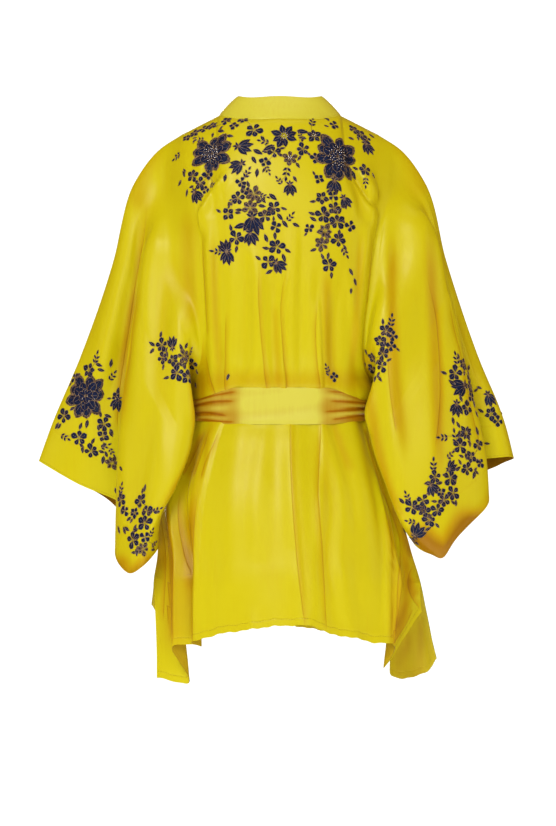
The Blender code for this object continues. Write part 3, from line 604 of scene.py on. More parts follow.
def back_top(columns):
    """Upper edge of the back: the neck curve, then the shoulder seams."""
    share = np.abs(columns)
    q = np.minimum(share / NECK_COLUMN, 1)
    on_neck = share <= NECK_COLUMN + 1e-9
    beyond = NECK_HALF + (SHOULDER_HALF - NECK_HALF) * (share - NECK_COLUMN) / (1 - NECK_COLUMN)
    across = np.where(on_neck, NECK_HALF * q, beyond)
    y = np.where(on_neck, NECK_BACK * np.sqrt(1 - q * q), 0)
    z = np.where(on_neck, NECK_BASE + NECK_RISE * q ** 4, shoulder_height(across))
    return np.stack([np.copysign(across, columns), y, z], -1)


def front_top(columns):
    """Upper edge of a front, from the armhole to the neck, and of its band beyond that."""
    q = np.maximum(columns - 1, 0) / (BAND_COLUMN - 1)
    across = SHOULDER_HALF - (SHOULDER_HALF - NECK_HALF) * np.minimum(columns, 1)
    z = np.where(columns <= 1, shoulder_height(across), NECK_BASE + NECK_RISE + BAND_RISE_SIDE * q)
    return np.stack([across - BAND_LEAN_SIDE * q, np.zeros_like(z), z], -1)


def back_section(columns, height):
    half_width = torso("half_width", height)
    armhole = np.where(columns > 0, torso("armhole_left", height), torso("armhole_right", height))
    return section(section_angle(armhole / half_width) * columns, half_width, torso("back_depth", height))


def front_section(side, columns, height):
    """Points of a front: column 0 is its side or armhole, 1 its edge, and more is the band."""
    half_width = torso("half_width", height)
    edge = torso("front_edge", height)
    start, end, free = (section_angle(x / half_width)
                        for x in (torso("armhole_" + side, height), edge, edge - BAND_WIDTH))
    angle = np.where(columns <= 1, start + (end - start) * columns,
                     end + (free - end) * (columns - 1) / (BAND_COLUMN - 1))
    depth = torso("front_depth", height) - (WRAP_GAP if side == "right" else 0)
    x, y = section(angle, half_width, depth)
    return (x if side == "left" else -x), -y


def upper_points(columns, top, levels, read_section):
    """Rows from a panel's upper edge down to the underarm, at shares of the way."""
    height = top[None, :, 2] + (UNDERARM - top[None, :, 2]) * np.asarray(levels)[:, None]
    x, y = read_section(np.broadcast_to(columns, height.shape), height)
    foot_y = read_section(columns, np.full(columns.shape, CAP_FOOT))[1]
    share = np.clip((height - CAP_FOOT) / (top[None, :, 2] - CAP_FOOT), 0, 1)
    cap_y = top[:, 1] + (foot_y - top[:, 1]) * (1 - share ** CAP_POWER) ** (1 / CAP_POWER)
    blend = share * share
    above = height > CAP_FOOT
    return np.stack([np.where(above, (1 - blend) * x + blend * top[:, 0], x),
                     np.where(above, cap_y, y), height], -1)


def lower_points(columns, heights, read_section, lines):
    """Rows of the skirt at nominal heights, between the belt's sections and the hem."""
    ordered = lines[np.argsort(lines[:, 0])]
    slit, hem = (smooth(ordered[:, 0], ordered[:, at:at + 3], columns) for at in (1, 4))

    def rows_at(levels):
        high = np.broadcast_to(np.asarray(levels, float)[:, None], (len(levels), len(columns)))
        return np.stack([*read_section(np.broadcast_to(columns, high.shape), high), high], -1)

    known = np.concatenate([rows_at(KNOWN_HEIGHTS), slit[None]])
    result = []
    for height in heights:
        if height >= KNOWN_HEIGHTS[1]:
            result.append(rows_at([height])[0])
        elif height >= SLIT_TOP:
            result.append(smooth((*-KNOWN_HEIGHTS, -SLIT_TOP), known, -height))
        else:
            span = SLIT_TOP - HEM
            start = (slit - known[-2]) / (KNOWN_HEIGHTS[-1] - SLIT_TOP) * span
            q = (SLIT_TOP - height) / span
            result.append(slit + (hem - slit) * q * q + start * q * (1 - q) ** 2)
    return np.array(result)


EVEN_LEVELS = np.linspace(0, 1, UPPER_ROWS + 1)
LEVELS = (1 - EVEN_ROWS) * eased(EVEN_LEVELS) + EVEN_ROWS * EVEN_LEVELS
LOWER = UNDERARM + (HEM - UNDERARM) * np.arange(1, LOWER_ROWS + 1) / LOWER_ROWS
ARMHOLE_TOP = shoulder_height(SHOULDER_HALF)
ROW_HEIGHTS = np.concatenate([ARMHOLE_TOP + (UNDERARM - ARMHOLE_TOP) * LEVELS, LOWER])


def back_grid(columns, levels, heights):
    upper = upper_points(columns, back_top(columns), levels, back_section)
    return np.concatenate([upper, lower_points(columns, heights, back_section, BACK_LINES)])


def front_grid(side, columns, levels, heights):
    read_section = partial(front_section, side)
    top = front_top(columns) * (1 if side == "left" else -1, 1, 1)
    upper = upper_points(columns, top, levels, read_section)
    if not len(heights):
        return upper
    return np.concatenate([upper, lower_points(columns, heights, read_section, FRONT_LINES[side])])


def slope(grid, axis, closed):
    """How the points of a grid move on from one to the next along an axis."""
    if closed:
        return (np.roll(grid, -1, axis=axis) - np.roll(grid, 1, axis=axis)) / 2
    return np.gradient(grid, axis=axis)


def grid_normals(grid, closed):
    return unit(np.cross(slope(grid, 0, False), slope(grid, 1, closed)))


def grid_quads(rows, columns, closed):
    """The faces of a grid of points, row by row. A closed one joins its last column to its first."""
    row, column = np.arange(rows - 1)[:, None], np.arange(columns if closed else columns - 1)[None, :]
    after = (column + 1) % columns
    corners = (row * columns + column, (row + 1) * columns + column, (row + 1) * columns + after,
               row * columns + after)
    return np.stack([corner.ravel() for corner in corners], 1)


def triangles(quads):
    return np.concatenate([quads[:, [0, 1, 2]], quads[:, [0, 2, 3]]])


def rim_of(index):
    """The points round the border of a grid, in order."""
    return np.concatenate([index[0], index[1:, -1], index[-1, -2::-1], index[-2:0:-1, 0]])


def to_pixels(points):
    """Where points in millimetres lie in the picture."""
    scale = SHARP_DISTANCE / (CAMERA[1] - points[..., 1]) / MM_PER_PIXEL
    return np.stack([PICTURE_MIDDLE[0] - (points[..., 0] - CAMERA[0]) * scale,
                     PICTURE_MIDDLE[1] - (points[..., 2] - CAMERA[2]) * scale], -1)


class Cloth:
    """One piece of cloth: a grid of points on its outer face, rows down and columns across."""

    def __init__(self, name, points, closed=False, flip=False):
        self.name, self.closed, self.flip = name, closed, flip
        self.points = np.array(points, float)
        for key in TRACES:
            setattr(self, key, np.zeros(self.points.shape[:2]))
        self.refresh()

    def refresh(self):
        self.normals = grid_normals(self.points, self.closed) * (-1 if self.flip else 1)

    def move(self, amount):
        """Moves each point along its normal, and remembers how far."""
        self.points = self.points + amount[:, :, None] * self.normals
        self.raised = self.raised + amount
        self.refresh()

    def even_out(self, height, reach, passes=60):
        """Smooths the cloth down its rows about one height, away from its borders."""
        share = bump(self.points[..., 2], height, reach) * soft(self.border_distance("lr"), 1, 16)
        share = share[1:-1, :, None]
        steps = np.abs(np.diff(self.points[..., 2:], axis=0)) + 0.01
        before, after = steps[:-1], steps[1:]
        for _ in range(passes):
            level = (self.points[:-2] * after + self.points[2:] * before) / (before + after)
            self.points[1:-1] += share / 2 * (level - self.points[1:-1])
        self.refresh()

    def raise_folds(self, folds, rows, columns):
        """Raises ridges (+) and presses troughs (-) given by column and row."""
        rows, columns = np.asarray(rows, float)[:, None], np.asarray(columns, float)[None, :]
        total = np.zeros(self.points.shape[:2])
        for column_top, column_bottom, top, bottom, half_width, height in folds:
            share = np.clip((rows - top) / (bottom - top), 0, 1)
            centre = column_top + (column_bottom - column_top) * share
            total += height * np.sin(share * math.pi) ** 0.8 * bump(columns, centre, half_width)
        self.move(total)

    def border_distance(self, sides="tblr"):
        """Distance over the cloth from each point to the nearest of its named borders, in mm."""
        far = np.full(self.points.shape[:2], FAR)
        for side, axis, way in (("t", 0, 1), ("b", 0, -1), ("l", 1, 1), ("r", 1, -1)):
            if side in sides and not (axis == 1 and self.closed):
                grid = self.points[::way] if axis == 0 else self.points[:, ::way]
                steps = np.cumsum(np.linalg.norm(np.diff(grid, axis=axis), axis=2), axis=axis)
                reach = np.insert(steps, 0, 0, axis=axis)
                far = np.minimum(far, reach[::way] if axis == 0 else reach[:, ::way])
        return far


def link(name, data):
    made = bpy.data.objects.new(name, data)
    bpy.context.scene.collection.objects.link(made)
    return made


def build_object(name, vertices, faces, materials, slots, values=None, normals=None):
    """Makes an object of a mesh in millimetres. slots gives each face's material."""
    mesh = bpy.data.meshes.new(name)
    faces = np.asarray(faces, np.int32)
    corners = faces.shape[1]
    mesh.vertices.add(len(vertices))
    mesh.vertices.foreach_set("co", (np.asarray(vertices) * MM).astype(np.float32).ravel())
    mesh.loops.add(faces.size)
    mesh.loops.foreach_set("vertex_index", faces.ravel())
    mesh.polygons.add(len(faces))
    mesh.polygons.foreach_set("loop_start", np.arange(len(faces), dtype=np.int32) * corners)
    mesh.polygons.foreach_set("loop_total", np.full(len(faces), corners, np.int32))
    for material in materials:
        mesh.materials.append(material)
    mesh.polygons.foreach_set("material_index", np.asarray(slots, np.int32))
    mesh.update(calc_edges=True)
    mesh.validate()
    for key, numbers in (values or {}).items():
        layer = mesh.attributes.new(key, "FLOAT", "POINT")
        layer.data.foreach_set("value", np.asarray(numbers, np.float32))
    mesh.shade_smooth()
    if normals is not None:
        mesh.normals_split_custom_set_from_vertices(normals)
    return link(name, mesh)


def shell(cloth, materials, values):
    """The thin closed shell of a piece of cloth, with its reverse in the second material."""
    rows, columns = cloth.points.shape[:2]
    count = rows * columns
    outer, normals = cloth.points.reshape(-1, 3), cloth.normals.reshape(-1, 3)
    front = grid_quads(rows, columns, cloth.closed)
    index = np.arange(count).reshape(rows, columns)
    loops = [index[0], index[-1, ::-1]] if cloth.closed else [rim_of(index)]
    sides = [np.stack([loop, np.roll(loop, -1), np.roll(loop, -1) + count, loop + count], 1)
             for loop in loops]
    faces = np.concatenate([front, front[:, ::-1] + count, *sides])
    slots = np.zeros(len(faces), int)
    slots[len(front):2 * len(front)] = 1
    values = {key: getattr(cloth, key) for key in TRACES} | values
    return build_object(cloth.name, np.concatenate([outer, outer - normals * CLOTH]),
                        faces[:, ::-1] if cloth.flip else faces, materials, slots,
                        {key: np.tile(numbers.ravel(), 2) for key, numbers in values.items()},
                        np.concatenate([normals, -normals]))


def join(cloths):
    """Gives cloths that are sewn edge to edge one smooth shading across the seam."""
    spots = []
    for number, cloth in enumerate(cloths):
        rows, columns = cloth.points.shape[:2]
        spots += [(number, row, column, 0) for row in (0, rows - 1) for column in range(columns)]
        if not cloth.closed:
            spots += [(number, row, column, 1) for row in range(1, rows - 1) for column in (0, columns - 1)]
    places = np.array([cloths[number].points[row, column] for number, row, column, _ in spots])
    normals = np.array([cloths[number].normals[row, column] for number, row, column, _ in spots])
    owners = np.array([spot[0] for spot in spots])
    for i, (number, row, column, axis) in enumerate(spots):
        gaps = np.linalg.norm(places - places[i], axis=1)
        gaps[owners == number] = FAR
        near = int(np.argmin(gaps))
        if gaps[near] > SEAM_REACH or normals[near] @ normals[i] < SEAM_FACING:
            continue
        middle = unit(normals[near] + normals[i])
        inward = 1 if (row, column)[axis] == 0 else -1
        own = cloths[number].normals
        for step, share in enumerate(SEAM_SHARES):
            at = (row + inward * step, column) if axis == 0 else (row, column + inward * step)
            own[at] = unit(own[at] * (1 - share) + middle * share)


def line_reading(pixels, line, reach):
    """For each place in the picture, the signed distance to a smooth line and the share along it."""
    steps = along(line)
    fine = smooth(steps, line, np.linspace(0, steps[-1], LINE_PARTS * (len(line) - 1) + 1))
    starts = along(fine)
    near, share = np.full(pixels.shape[:-1], FAR), np.zeros(pixels.shape[:-1])
    inside = ((pixels >= fine.min(axis=0) - reach) & (pixels <= fine.max(axis=0) + reach)).all(axis=-1)
    spots = pixels[inside]
    best, where = np.full(len(spots), FAR), np.zeros(len(spots))
    for start, end, before, after in zip(fine, fine[1:], starts, starts[1:]):
        way = (end - start) / (after - before)
        q = np.clip((spots - start) @ way, 0, after - before)
        gap = spots - start - q[:, None] * way
        side = np.where(way[0] * gap[:, 1] - way[1] * gap[:, 0] < 0, -1, 1)
        distance = np.linalg.norm(gap, axis=1)
        closer = distance < np.abs(best)
        best = np.where(closer, distance * side, best)
        where = np.where(closer, (before + q) / starts[-1], where)
    near[inside], share[inside] = best, where
    return near, share


def blur(values, closed, passes=BLUR_PASSES):
    """Softens values over a cloth's grid."""
    for _ in range(passes):
        wide = np.pad(values, ((0, 0), (1, 1)), mode="wrap" if closed else "edge")
        values = (wide[:, :-2] + 2 * wide[:, 1:-1] + wide[:, 2:]) / 4
        tall = np.pad(values, ((1, 1), (0, 0)), mode="edge")
        values = (tall[:-2] + 2 * tall[1:-1] + tall[2:]) / 4
    return values


def belt_edge(across, share):
    """Height of the sash at this distance from the middle; share is 1 at its top edge, -1 at the other."""
    narrow = soft(across, *BELT_NARROW)
    return BELT_MIDDLE - BELT_SAG * narrow + share * (BELT_HALF_HEIGHT - BELT_NARROWING * narrow)


def sash_zone(x, z):
    """1 beneath the sash and 0 away from it."""
    top, foot = belt_edge(np.abs(x), 1), belt_edge(np.abs(x), -1)
    inner, outer = SASH_MARGIN
    return soft(z, foot + inner, foot + outer) * soft(-z, -top + inner, -top + outer)


def under_sash(line):
    """Carries a crease that meets the sash on beneath it."""
    line = line.copy()
    for end, near in ((0, 1), (-1, -2)):
        if SASH_PIXELS[0] <= line[end][1] <= SASH_PIXELS[1]:
            reach = max(RUN_ON_SHARE * math.dist(line[0], line[-1]), RUN_ON)
            line[end] += unit(line[end] - line[near]) * reach
    return line


def faded(share, rise, fall):
    """Fades a line in up to one share of its length, and out from another."""
    return soft(share, 0, rise) * soft(-share, -1, -fall)


def crease(cloth, side=1):
    """Presses creases into a cloth where its outer (1) or inner (-1) face shows to the camera; paints shade
    too.
    """
    pixels = to_pixels(cloth.points)
    facing = soft(cloth.normals[..., 1] * side, 0.0, FACING_FULL)
    total = {kind: np.zeros(pixels.shape[:2]) for kind in ("soft", "edge", "fold", "shade")}
    for row in CREASES[cloth.name.removesuffix("_cloth")].strip().splitlines():
        kind, *numbers = row.split()
        half_width, height, *line = map(float, numbers)
        line = np.array(line).reshape(-1, 2)
        if cloth.name == "back_cloth":
            line = under_sash(line)
        gap, share = line_reading(pixels, line, half_width * LINE_REACH)
        # A crisp line is painted: a dark line with painted shadow on one side, and a pressed groove in the
        # material
        if kind == "line":
            gap = gap * MM_PER_PIXEL
            near = soft(-np.abs(gap), -CRISP_REACH, -CRISP_REACH * CRISP_FULL) * (facing > 0.02)
            near *= faded(share, *CRISP_FADES)
            closer = near > cloth.crisp_near
            cloth.crisp_near = np.where(closer, near, cloth.crisp_near)
            cloth.crisp = np.where(closer, gap * near * height, cloth.crisp)
            continue
        fade = faded(share, *FADES)
        if kind in STEEP_SHARE:
            shape = soft(gap, -half_width, 0) * soft(-gap, -half_width * STEEP_SHARE[kind], 0)
        else:
            shape = bump(gap, 0, half_width)
        if kind == "gather":
            kind = "soft"
            if height < 0:
                total["shade"] += GATHER_SHADE[1] * fade * bump(gap, 0, GATHER_SHADE[0])
        total[kind] += height * fade * shape
    # Shade rows and the feet of gathers are painted shade: they deepen the colour and move nothing
    shade_passes = 0 if cloth.name == "belt_cloth" else SHADE_PASSES
    cloth.tone = cloth.tone + blur(total["shade"], cloth.closed, shade_passes) * facing
    if cloth.name == "back_cloth":
        zone = sash_zone(cloth.points[..., 0], cloth.points[..., 2])
        facing = facing * (1 - (1 - UNDER_SASH_SHARE) * zone)
    top, ends = cloth.border_distance("t"), cloth.border_distance("lr")
    border = np.where(cloth.points[..., 2] > UNDERARM, np.minimum(top, ends), top)
    soft_part = blur(total["soft"] + total["fold"], cloth.closed)
    cloth.move((soft_part + total["edge"]) * facing * soft(border, 0, BORDER_FADE))


def blouse(cloth):
    """Lets the cloth swell towards the sash's upper edge and spring out below the lower one."""
    x, z = cloth.points[..., 0], cloth.points[..., 2]
    top, foot = belt_edge(np.abs(x), 1), belt_edge(np.abs(x), -1)
    waves = 0.85 + 0.15 * np.sin(x / 19.0 + 1.3) * np.sin(x / 31.0 + 0.4)
    swell, start, full = SWELL
    spring, drop, reach = SPRING
    above = swell * waves * soft(-z, -top - start, -top - full) * soft(z, top - 3, top + 4)
    cloth.move(above + spring * (1.6 - waves) * bump(z, foot - drop, reach))


def flare(cloth):
    """Lets the skirt's left side and the cloth above the sash's right end swing out to the sleeves."""
    x, z = cloth.points[..., 0].copy(), cloth.points[..., 2]
    for amount, height, reach, side, start, end in FLARES:
        cloth.points[..., 0] += amount * bump(z, height, reach) * soft(side * x, start, end)
    cloth.refresh()


def ripple(cloth, count):
    """Small uneven waves near a hem, strongest at its edge."""
    near = soft(-cloth.border_distance("b"), -HEM_REACH, 0)
    turns = np.linspace(0, 1, cloth.points.shape[1])[None, :] * count * math.pi
    waves = np.sin(turns * 2 + 0.6) * np.sin(turns * 0.83 + 1.9) + 0.5 * np.sin(turns * 3.1 + 2.2)
    cloth.move(near * HEM_SIZE * waves)
    dents = np.sin(turns * 4.7 + 0.3) * np.sin(turns * 1.9 + 1.1)
    cloth.points[..., 2] += near ** 2 * HEM_SIZE * 1.1 * dents
    cloth.refresh()


def make_back():
    columns = np.linspace(1, -1, BACK_COLUMNS + 1)
    cloth = Cloth("back_cloth", back_grid(columns, LEVELS, LOWER))
    cloth.raise_folds(BACK_FOLDS, ROW_HEIGHTS, columns)
    cloth.even_out(*KINK)
    crease(cloth)
    blouse(cloth)
    flare(cloth)
    ripple(cloth, RIPPLES["back"])
    # Painted shade where the low cloth turns away from the camera
    turned_away = soft(-cloth.normals[..., 1], *TURNED_AWAY)
    low = soft(-cloth.points[..., 2], *HANGS_LOW)
    cloth.tone = cloth.tone + TURNED_SHADE * turned_away * low
    return cloth


def make_front(side):
    columns = np.linspace(0, 1, FRONT_COLUMNS + 1)
    cloth = Cloth(f"front_{side}_cloth", front_grid(side, columns, LEVELS, LOWER), flip=side == "left")
    cloth.raise_folds(FRONT_FOLDS[side], ROW_HEIGHTS, columns)
    crease(cloth, -1)
    blouse(cloth)
    flare(cloth)
    ripple(cloth, RIPPLES["front"])
    return cloth


def make_sleeve(side):
    """The sleeve and its cuff band, cut from one smooth form that starts at the armhole."""
    places = np.arange(RING_STEPS) / RING_STEPS * RING_POINTS
    down, up = places[places <= RING_BACK], places[places > RING_BACK]
    column = np.array([1.0 if side == "left" else -1.0])
    down_levels = eased(down / RING_BACK)
    up_levels = eased((RING_POINTS - up) / (RING_POINTS - RING_BACK))
    armhole = np.concatenate([back_grid(column, down_levels, [SLEEVE_TOP_ROW])[:-1, 0],
                              front_grid(side, np.array([0.0]), up_levels, [])[:, 0]])
    own, points = SLEEVE_LINES[side][:, 0], SLEEVE_LINES[side][:, 1:].reshape(-1, len(SLEEVE_STATIONS), 3)
    keys = np.concatenate([own[-2:] - RING_POINTS, own, own[:2] + RING_POINTS])
    rings = smooth(keys, np.concatenate([points[-2:], points, points[:2]]), places).swapaxes(0, 1)
    lengths = np.concatenate([np.linspace(0, CUFF_SEAM, SLEEVE_ROWS + 1),
                              np.linspace(CUFF_SEAM, 1, CUFF_ROWS + 1)[1:]])
    grid = smooth((0, *SLEEVE_STATIONS), np.concatenate([armhole[None], rings]), lengths)
    flip = side == "right"
    whole = Cloth(f"sleeve_{side}_cloth", grid, closed=True, flip=flip)
    whole.raise_folds(SLEEVE_FOLDS, lengths, places)
    crease(whole)
    pieces = []
    for name, rows in (("sleeve", slice(0, SLEEVE_ROWS + 1)), ("cuff", slice(SLEEVE_ROWS, None))):
        piece = Cloth(f"{name}_{side}_cloth", whole.points[rows], closed=True, flip=flip)
        for key in TRACES:
            setattr(piece, key, getattr(whole, key)[rows])
        pieces.append(piece)
    return pieces


def make_band():
    """One strip from hem to hem: up the right front, round the neck and down the left front."""
    across = np.linspace(0, 1, BAND_STEPS[1])
    left, right = (front_grid(side, 1 + (BAND_COLUMN - 1) * across, LEVELS, LOWER) for side in SIDES)
    neck_columns = np.linspace(-NECK_COLUMN, NECK_COLUMN, BAND_STEPS[0])[1:-1]
    q = (neck_columns / NECK_COLUMN)[:, None]
    round_share = 1 - q * q
    lean = np.concatenate([-BAND_LEAN_SIDE * q, -BAND_LEAN_BACK * round_share,
                           BAND_RISE_SIDE + (BAND_RISE_BACK - BAND_RISE_SIDE) * round_share], 1)
    neck = back_top(neck_columns)[:, None, :] + lean[:, None, :] * across[None, :, None]
    cloth = Cloth("neck_band_cloth", np.concatenate([right[::-1], neck, left]), flip=True)
    cloth.move(BAND_ROLL * np.sin(across * math.pi)[None, :] ** 0.5 * np.ones((cloth.points.shape[0], 1)))
    return cloth


def make_belt():
    """The sash round the waist: smooth in the middle of the back, gathered at its sides and in front."""
    half_turn = np.linspace(math.pi / 2, -math.pi / 2, BELT_STEPS + 1)
    turn = np.concatenate([half_turn, half_turn[-2:0:-1]])[None, :]
    facing = np.repeat((1, -1), (BELT_STEPS + 1, BELT_STEPS - 1))
    across = np.abs(section(turn, float(torso("half_width", BELT_MIDDLE)), 1.0)[0])
    share = np.linspace(1, -1, BELT_ROWS + 1)[:, None]
    height = belt_edge(across, share)
    out = BELT_CLEARANCE + BELT_WALL * (1 - SASH_ROUNDING * np.abs(share) ** 7)
    depth = np.where(facing > 0, torso("back_depth", height), torso("front_depth", height))
    x, y = section(np.broadcast_to(turn, height.shape), torso("half_width", height) + out, depth + out)
    cloth = Cloth("belt_cloth", np.stack([x, y * facing, height], -1), closed=True)
    ends = soft(across, *SASH_GATHERED)
    strands = np.sin(share * 7.5 + 2.2 * np.sin(turn * 1.7 + 0.4))
    strands += 0.6 * np.sin(share * 13 + 3 * turn + 1.1)
    middle = 0.35 * np.sin(share * 5 + turn * 3) * (1 - ends)
    cloth.move((strands * ends * 0.7 + middle + (facing < 0) * 0.5 * strands) * (1 - np.abs(share) ** 6))
    crease(cloth)
    # Painted shade at the sash's gathered ends, laid in as deeper troughs that move nothing
    for amount, start, end in SASH_END_SHADE:
        cloth.raised = cloth.raised - amount * soft(across, start, end)
    return cloth


def make_knot():
    """The sash's knot: one turn of cloth laid aslant over its gathered ends."""
    front_face = float(torso("front_depth", BELT_MIDDLE)) + BELT_CLEARANCE + BELT_WALL + KNOT_GAP
    centre = np.array((KNOT_X, -front_face - KNOT_HALF[1], BELT_MIDDLE))
    polar = np.linspace(*KNOT_POLES, KNOT_ROWS + 1)[:, None] * math.pi
    direction = ball_points(polar, KNOT_COLUMNS)
    squared = np.sign(direction) * np.abs(direction) ** KNOT_ROUNDNESS
    cloth = Cloth("belt_knot_cloth", centre + squared * (np.array(KNOT_HALF) - KNOT_INSET), closed=True)
    offset = cloth.points - centre
    if (cloth.normals * offset).sum() < 0:
        cloth.flip = True
        cloth.refresh()
    across = offset[..., 0] * math.cos(KNOT_LEAN) + offset[..., 2] * math.sin(KNOT_LEAN)
    down = -offset[..., 0] * math.sin(KNOT_LEAN) + offset[..., 2] * math.cos(KNOT_LEAN)
    edge, full = KNOT_TURN
    turn_of_cloth = soft(-np.abs(across), -edge, -full)
    pleats = np.sin(across / 1.9 + 0.5 * np.sin(down / 9.0)) + 0.5 * np.sin(across / 0.9 + down / 14.0)
    gathers = np.sin(down / 1.7 + across / 9.0)
    away = soft(np.sin(polar), 0.1, 0.5)
    cloth.move((turn_of_cloth * (1.1 + 0.55 * pleats) + (1 - turn_of_cloth) * (0.6 * gathers - 0.9)) * away)
    return cloth


def ball_points(polar, count):
    """Points on a ball of radius 1 at angles from its top, in rings of a number of points."""
    turn = 2 * math.pi * np.arange(count)[None, :] / count
    out = np.sin(polar)
    return np.stack([out * np.cos(turn), out * np.sin(turn), np.cos(polar) + 0 * turn], -1)


def front_row(height, columns):
    """Points of the left front at a nominal height."""
    return lower_points(np.asarray(columns, float), [height], partial(front_section, "left"),
                        FRONT_LINES["left"])[0]


def make_tail(name):
    """A hanging end of the sash, gathered at the knot."""
    top, bottom = TAILS[name]
    share = np.linspace(0, 1, TAIL_ROWS + 1)
    rows = []
    for q in share:
        height = TAIL_TOP + (TAIL_BOTTOM - TAIL_TOP) * q
        middle = top + (bottom - top) * q
        spread = min((TAIL_TOP - height) / TAIL_GATHER, 1.0)
        width = TAIL_WIDTHS[0] + (TAIL_WIDTHS[1] - TAIL_WIDTHS[0]) * spread * (2 - spread)
        before, after = front_row(height, [middle - TAIL_SPAN, middle + TAIL_SPAN])
        half_span = TAIL_SPAN * width / np.linalg.norm(after - before)
        rows.append(front_row(height, np.linspace(middle - half_span, middle + half_span, TAIL_COLUMNS + 1)))
    cloth = Cloth(name + "_cloth", np.array(rows), flip=True)
    share, place = share[:, None], np.linspace(-1, 1, TAIL_COLUMNS + 1)[None, :]
    lift = TAIL_LIFT[0] + (TAIL_LIFT[1] - TAIL_LIFT[0]) * share
    cloth.points = cloth.points + cloth.normals * lift[..., None]
    cloth.refresh()
    gathers = np.sin(place * 8.5 + 0.7 * np.sin(share * 5)) * (1 - 0.75 * soft(share, 0.05, 0.6))
    waves = 0.6 * np.sin(place * 3.6 + share * 2.2 + len(name)) * soft(share, 0.1, 0.5)
    cloth.move(0.9 + 0.8 * gathers + waves)
    return cloth


# The camera
camera_data = bpy.data.cameras.new("camera")
camera_data.sensor_width = 36.0
camera_data.lens = camera_data.sensor_width * SHARP_DISTANCE / (MM_PER_PIXEL * PICTURE_HEIGHT)
camera = link("camera", camera_data)
camera.location = [value * MM for value in CAMERA]
camera.rotation_euler = (math.pi / 2, 0, math.pi)
bpy.context.scene.camera = camera

back = make_back()
fronts = {side: make_front(side) for side in SIDES}
sleeves = {side: make_sleeve(side) for side in SIDES}
band = make_band()
belt = make_belt()
join([back, *fronts.values(), *sleeves["left"], *sleeves["right"]])
knot = make_knot()
tails = {name: make_tail(name) for name in TAILS}


class Nodes:
    """A new material, and the nodes that are added to it."""

    def __init__(self, name):
        self.material = bpy.data.materials.new(name)
        self.material.use_nodes = True
        self.tree = self.material.node_tree
        self.shader = self.tree.nodes["Principled BSDF"]

    def fill(self, node, inputs):
        """Fills a node's inputs with numbers or with other nodes' outputs."""
        for key, value in inputs.items():
            if hasattr(value, "links"):
                self.tree.links.new(value, node.inputs[key])
            else:
                node.inputs[key].default_value = value

    def add(self, kind, inputs=None, output=0, **settings):
        node = self.tree.nodes.new("ShaderNode" + kind)
        for key, value in settings.items():
            setattr(node, key, value)
        self.fill(node, inputs or {})
        return node.outputs[output]

    def maths(self, operation, *values, clamp=False):
        return self.add("Math", dict(enumerate(values)), operation=operation, use_clamp=clamp)

    def weighted(self, *parts):
        """The sum of values, each times its weight."""
        total = 0.0
        for value, weight in parts:
            total = self.maths("ADD", total, self.maths("MULTIPLY", value, weight))
        return total

    def falling(self, value, width):
        """Falls from 1 to 0 while the value rises from 0 to a width."""
        return self.maths("SUBTRACT", 1.0, self.maths("DIVIDE", value, width), clamp=True)

    def attribute(self, name):
        return self.add("Attribute", output="Fac", attribute_name=name)

    def groove(self, attribute, place, width):
        """1 on a line at this distance in mm from an edge, falling to 0 at width from it."""
        gap = self.maths("SUBTRACT", self.attribute(attribute), place)
        return self.falling(self.maths("ABSOLUTE", gap), width)

    def noise(self, scale, detail, turn=(0.0, 0.0, 0.0)):
        """Noise of a size; three scales stretch it."""
        place = self.add("TexCoord", output="Object")
        if isinstance(scale, tuple):
            place = self.add("Mapping", {"Vector": place, "Rotation": turn, "Scale": scale})
            scale = 1.0
        return self.add("TexNoise", {"Vector": place, "Scale": scale, "Detail": detail})

    def mix(self, share, one, other):
        """A blend of two colours."""
        one, other = ((*colour, 1) if isinstance(colour, tuple) else colour for colour in (one, other))
        return self.add("Mix", {0: share, 6: one, 7: other}, output=2, data_type="RGBA")

    def bump(self, height, distance, strength, below=None, **settings):
        inputs = {"Height": height, "Distance": distance, "Strength": strength}
        return self.add("Bump", inputs | ({"Normal": below} if below else {}), **settings)


# How much painted shade a millimetre of depth lays into the colour in troughs, on the robe and on the sash
TROUGH_SHADE_GAIN = 0.035
SASH_TROUGH_SHADE_GAIN = 0.28

# How much deeper other things make it: a crisp line and its shadow side, both painted shade, a seam,
# the mottling and the slubs
LINE_SHADE = 0.42
BESIDE_SHADE = 0.6
SEAM_SHADE = 0.1
MOTTLE_SHADE = 0.25
SLUB_SHADE = 0.22

# Widths in mm: of a crisp line and its painted shadow side, of a seam and its groove, and of the groove of a
# hem
LINE_WIDTH = 1.3
BESIDE_WIDTH = 7.0
SEAM_WIDTH = 3.0
SEAM_GROOVE = 2.6
HEM_PLACE = 10.0
HEM_GROOVE = 1.6


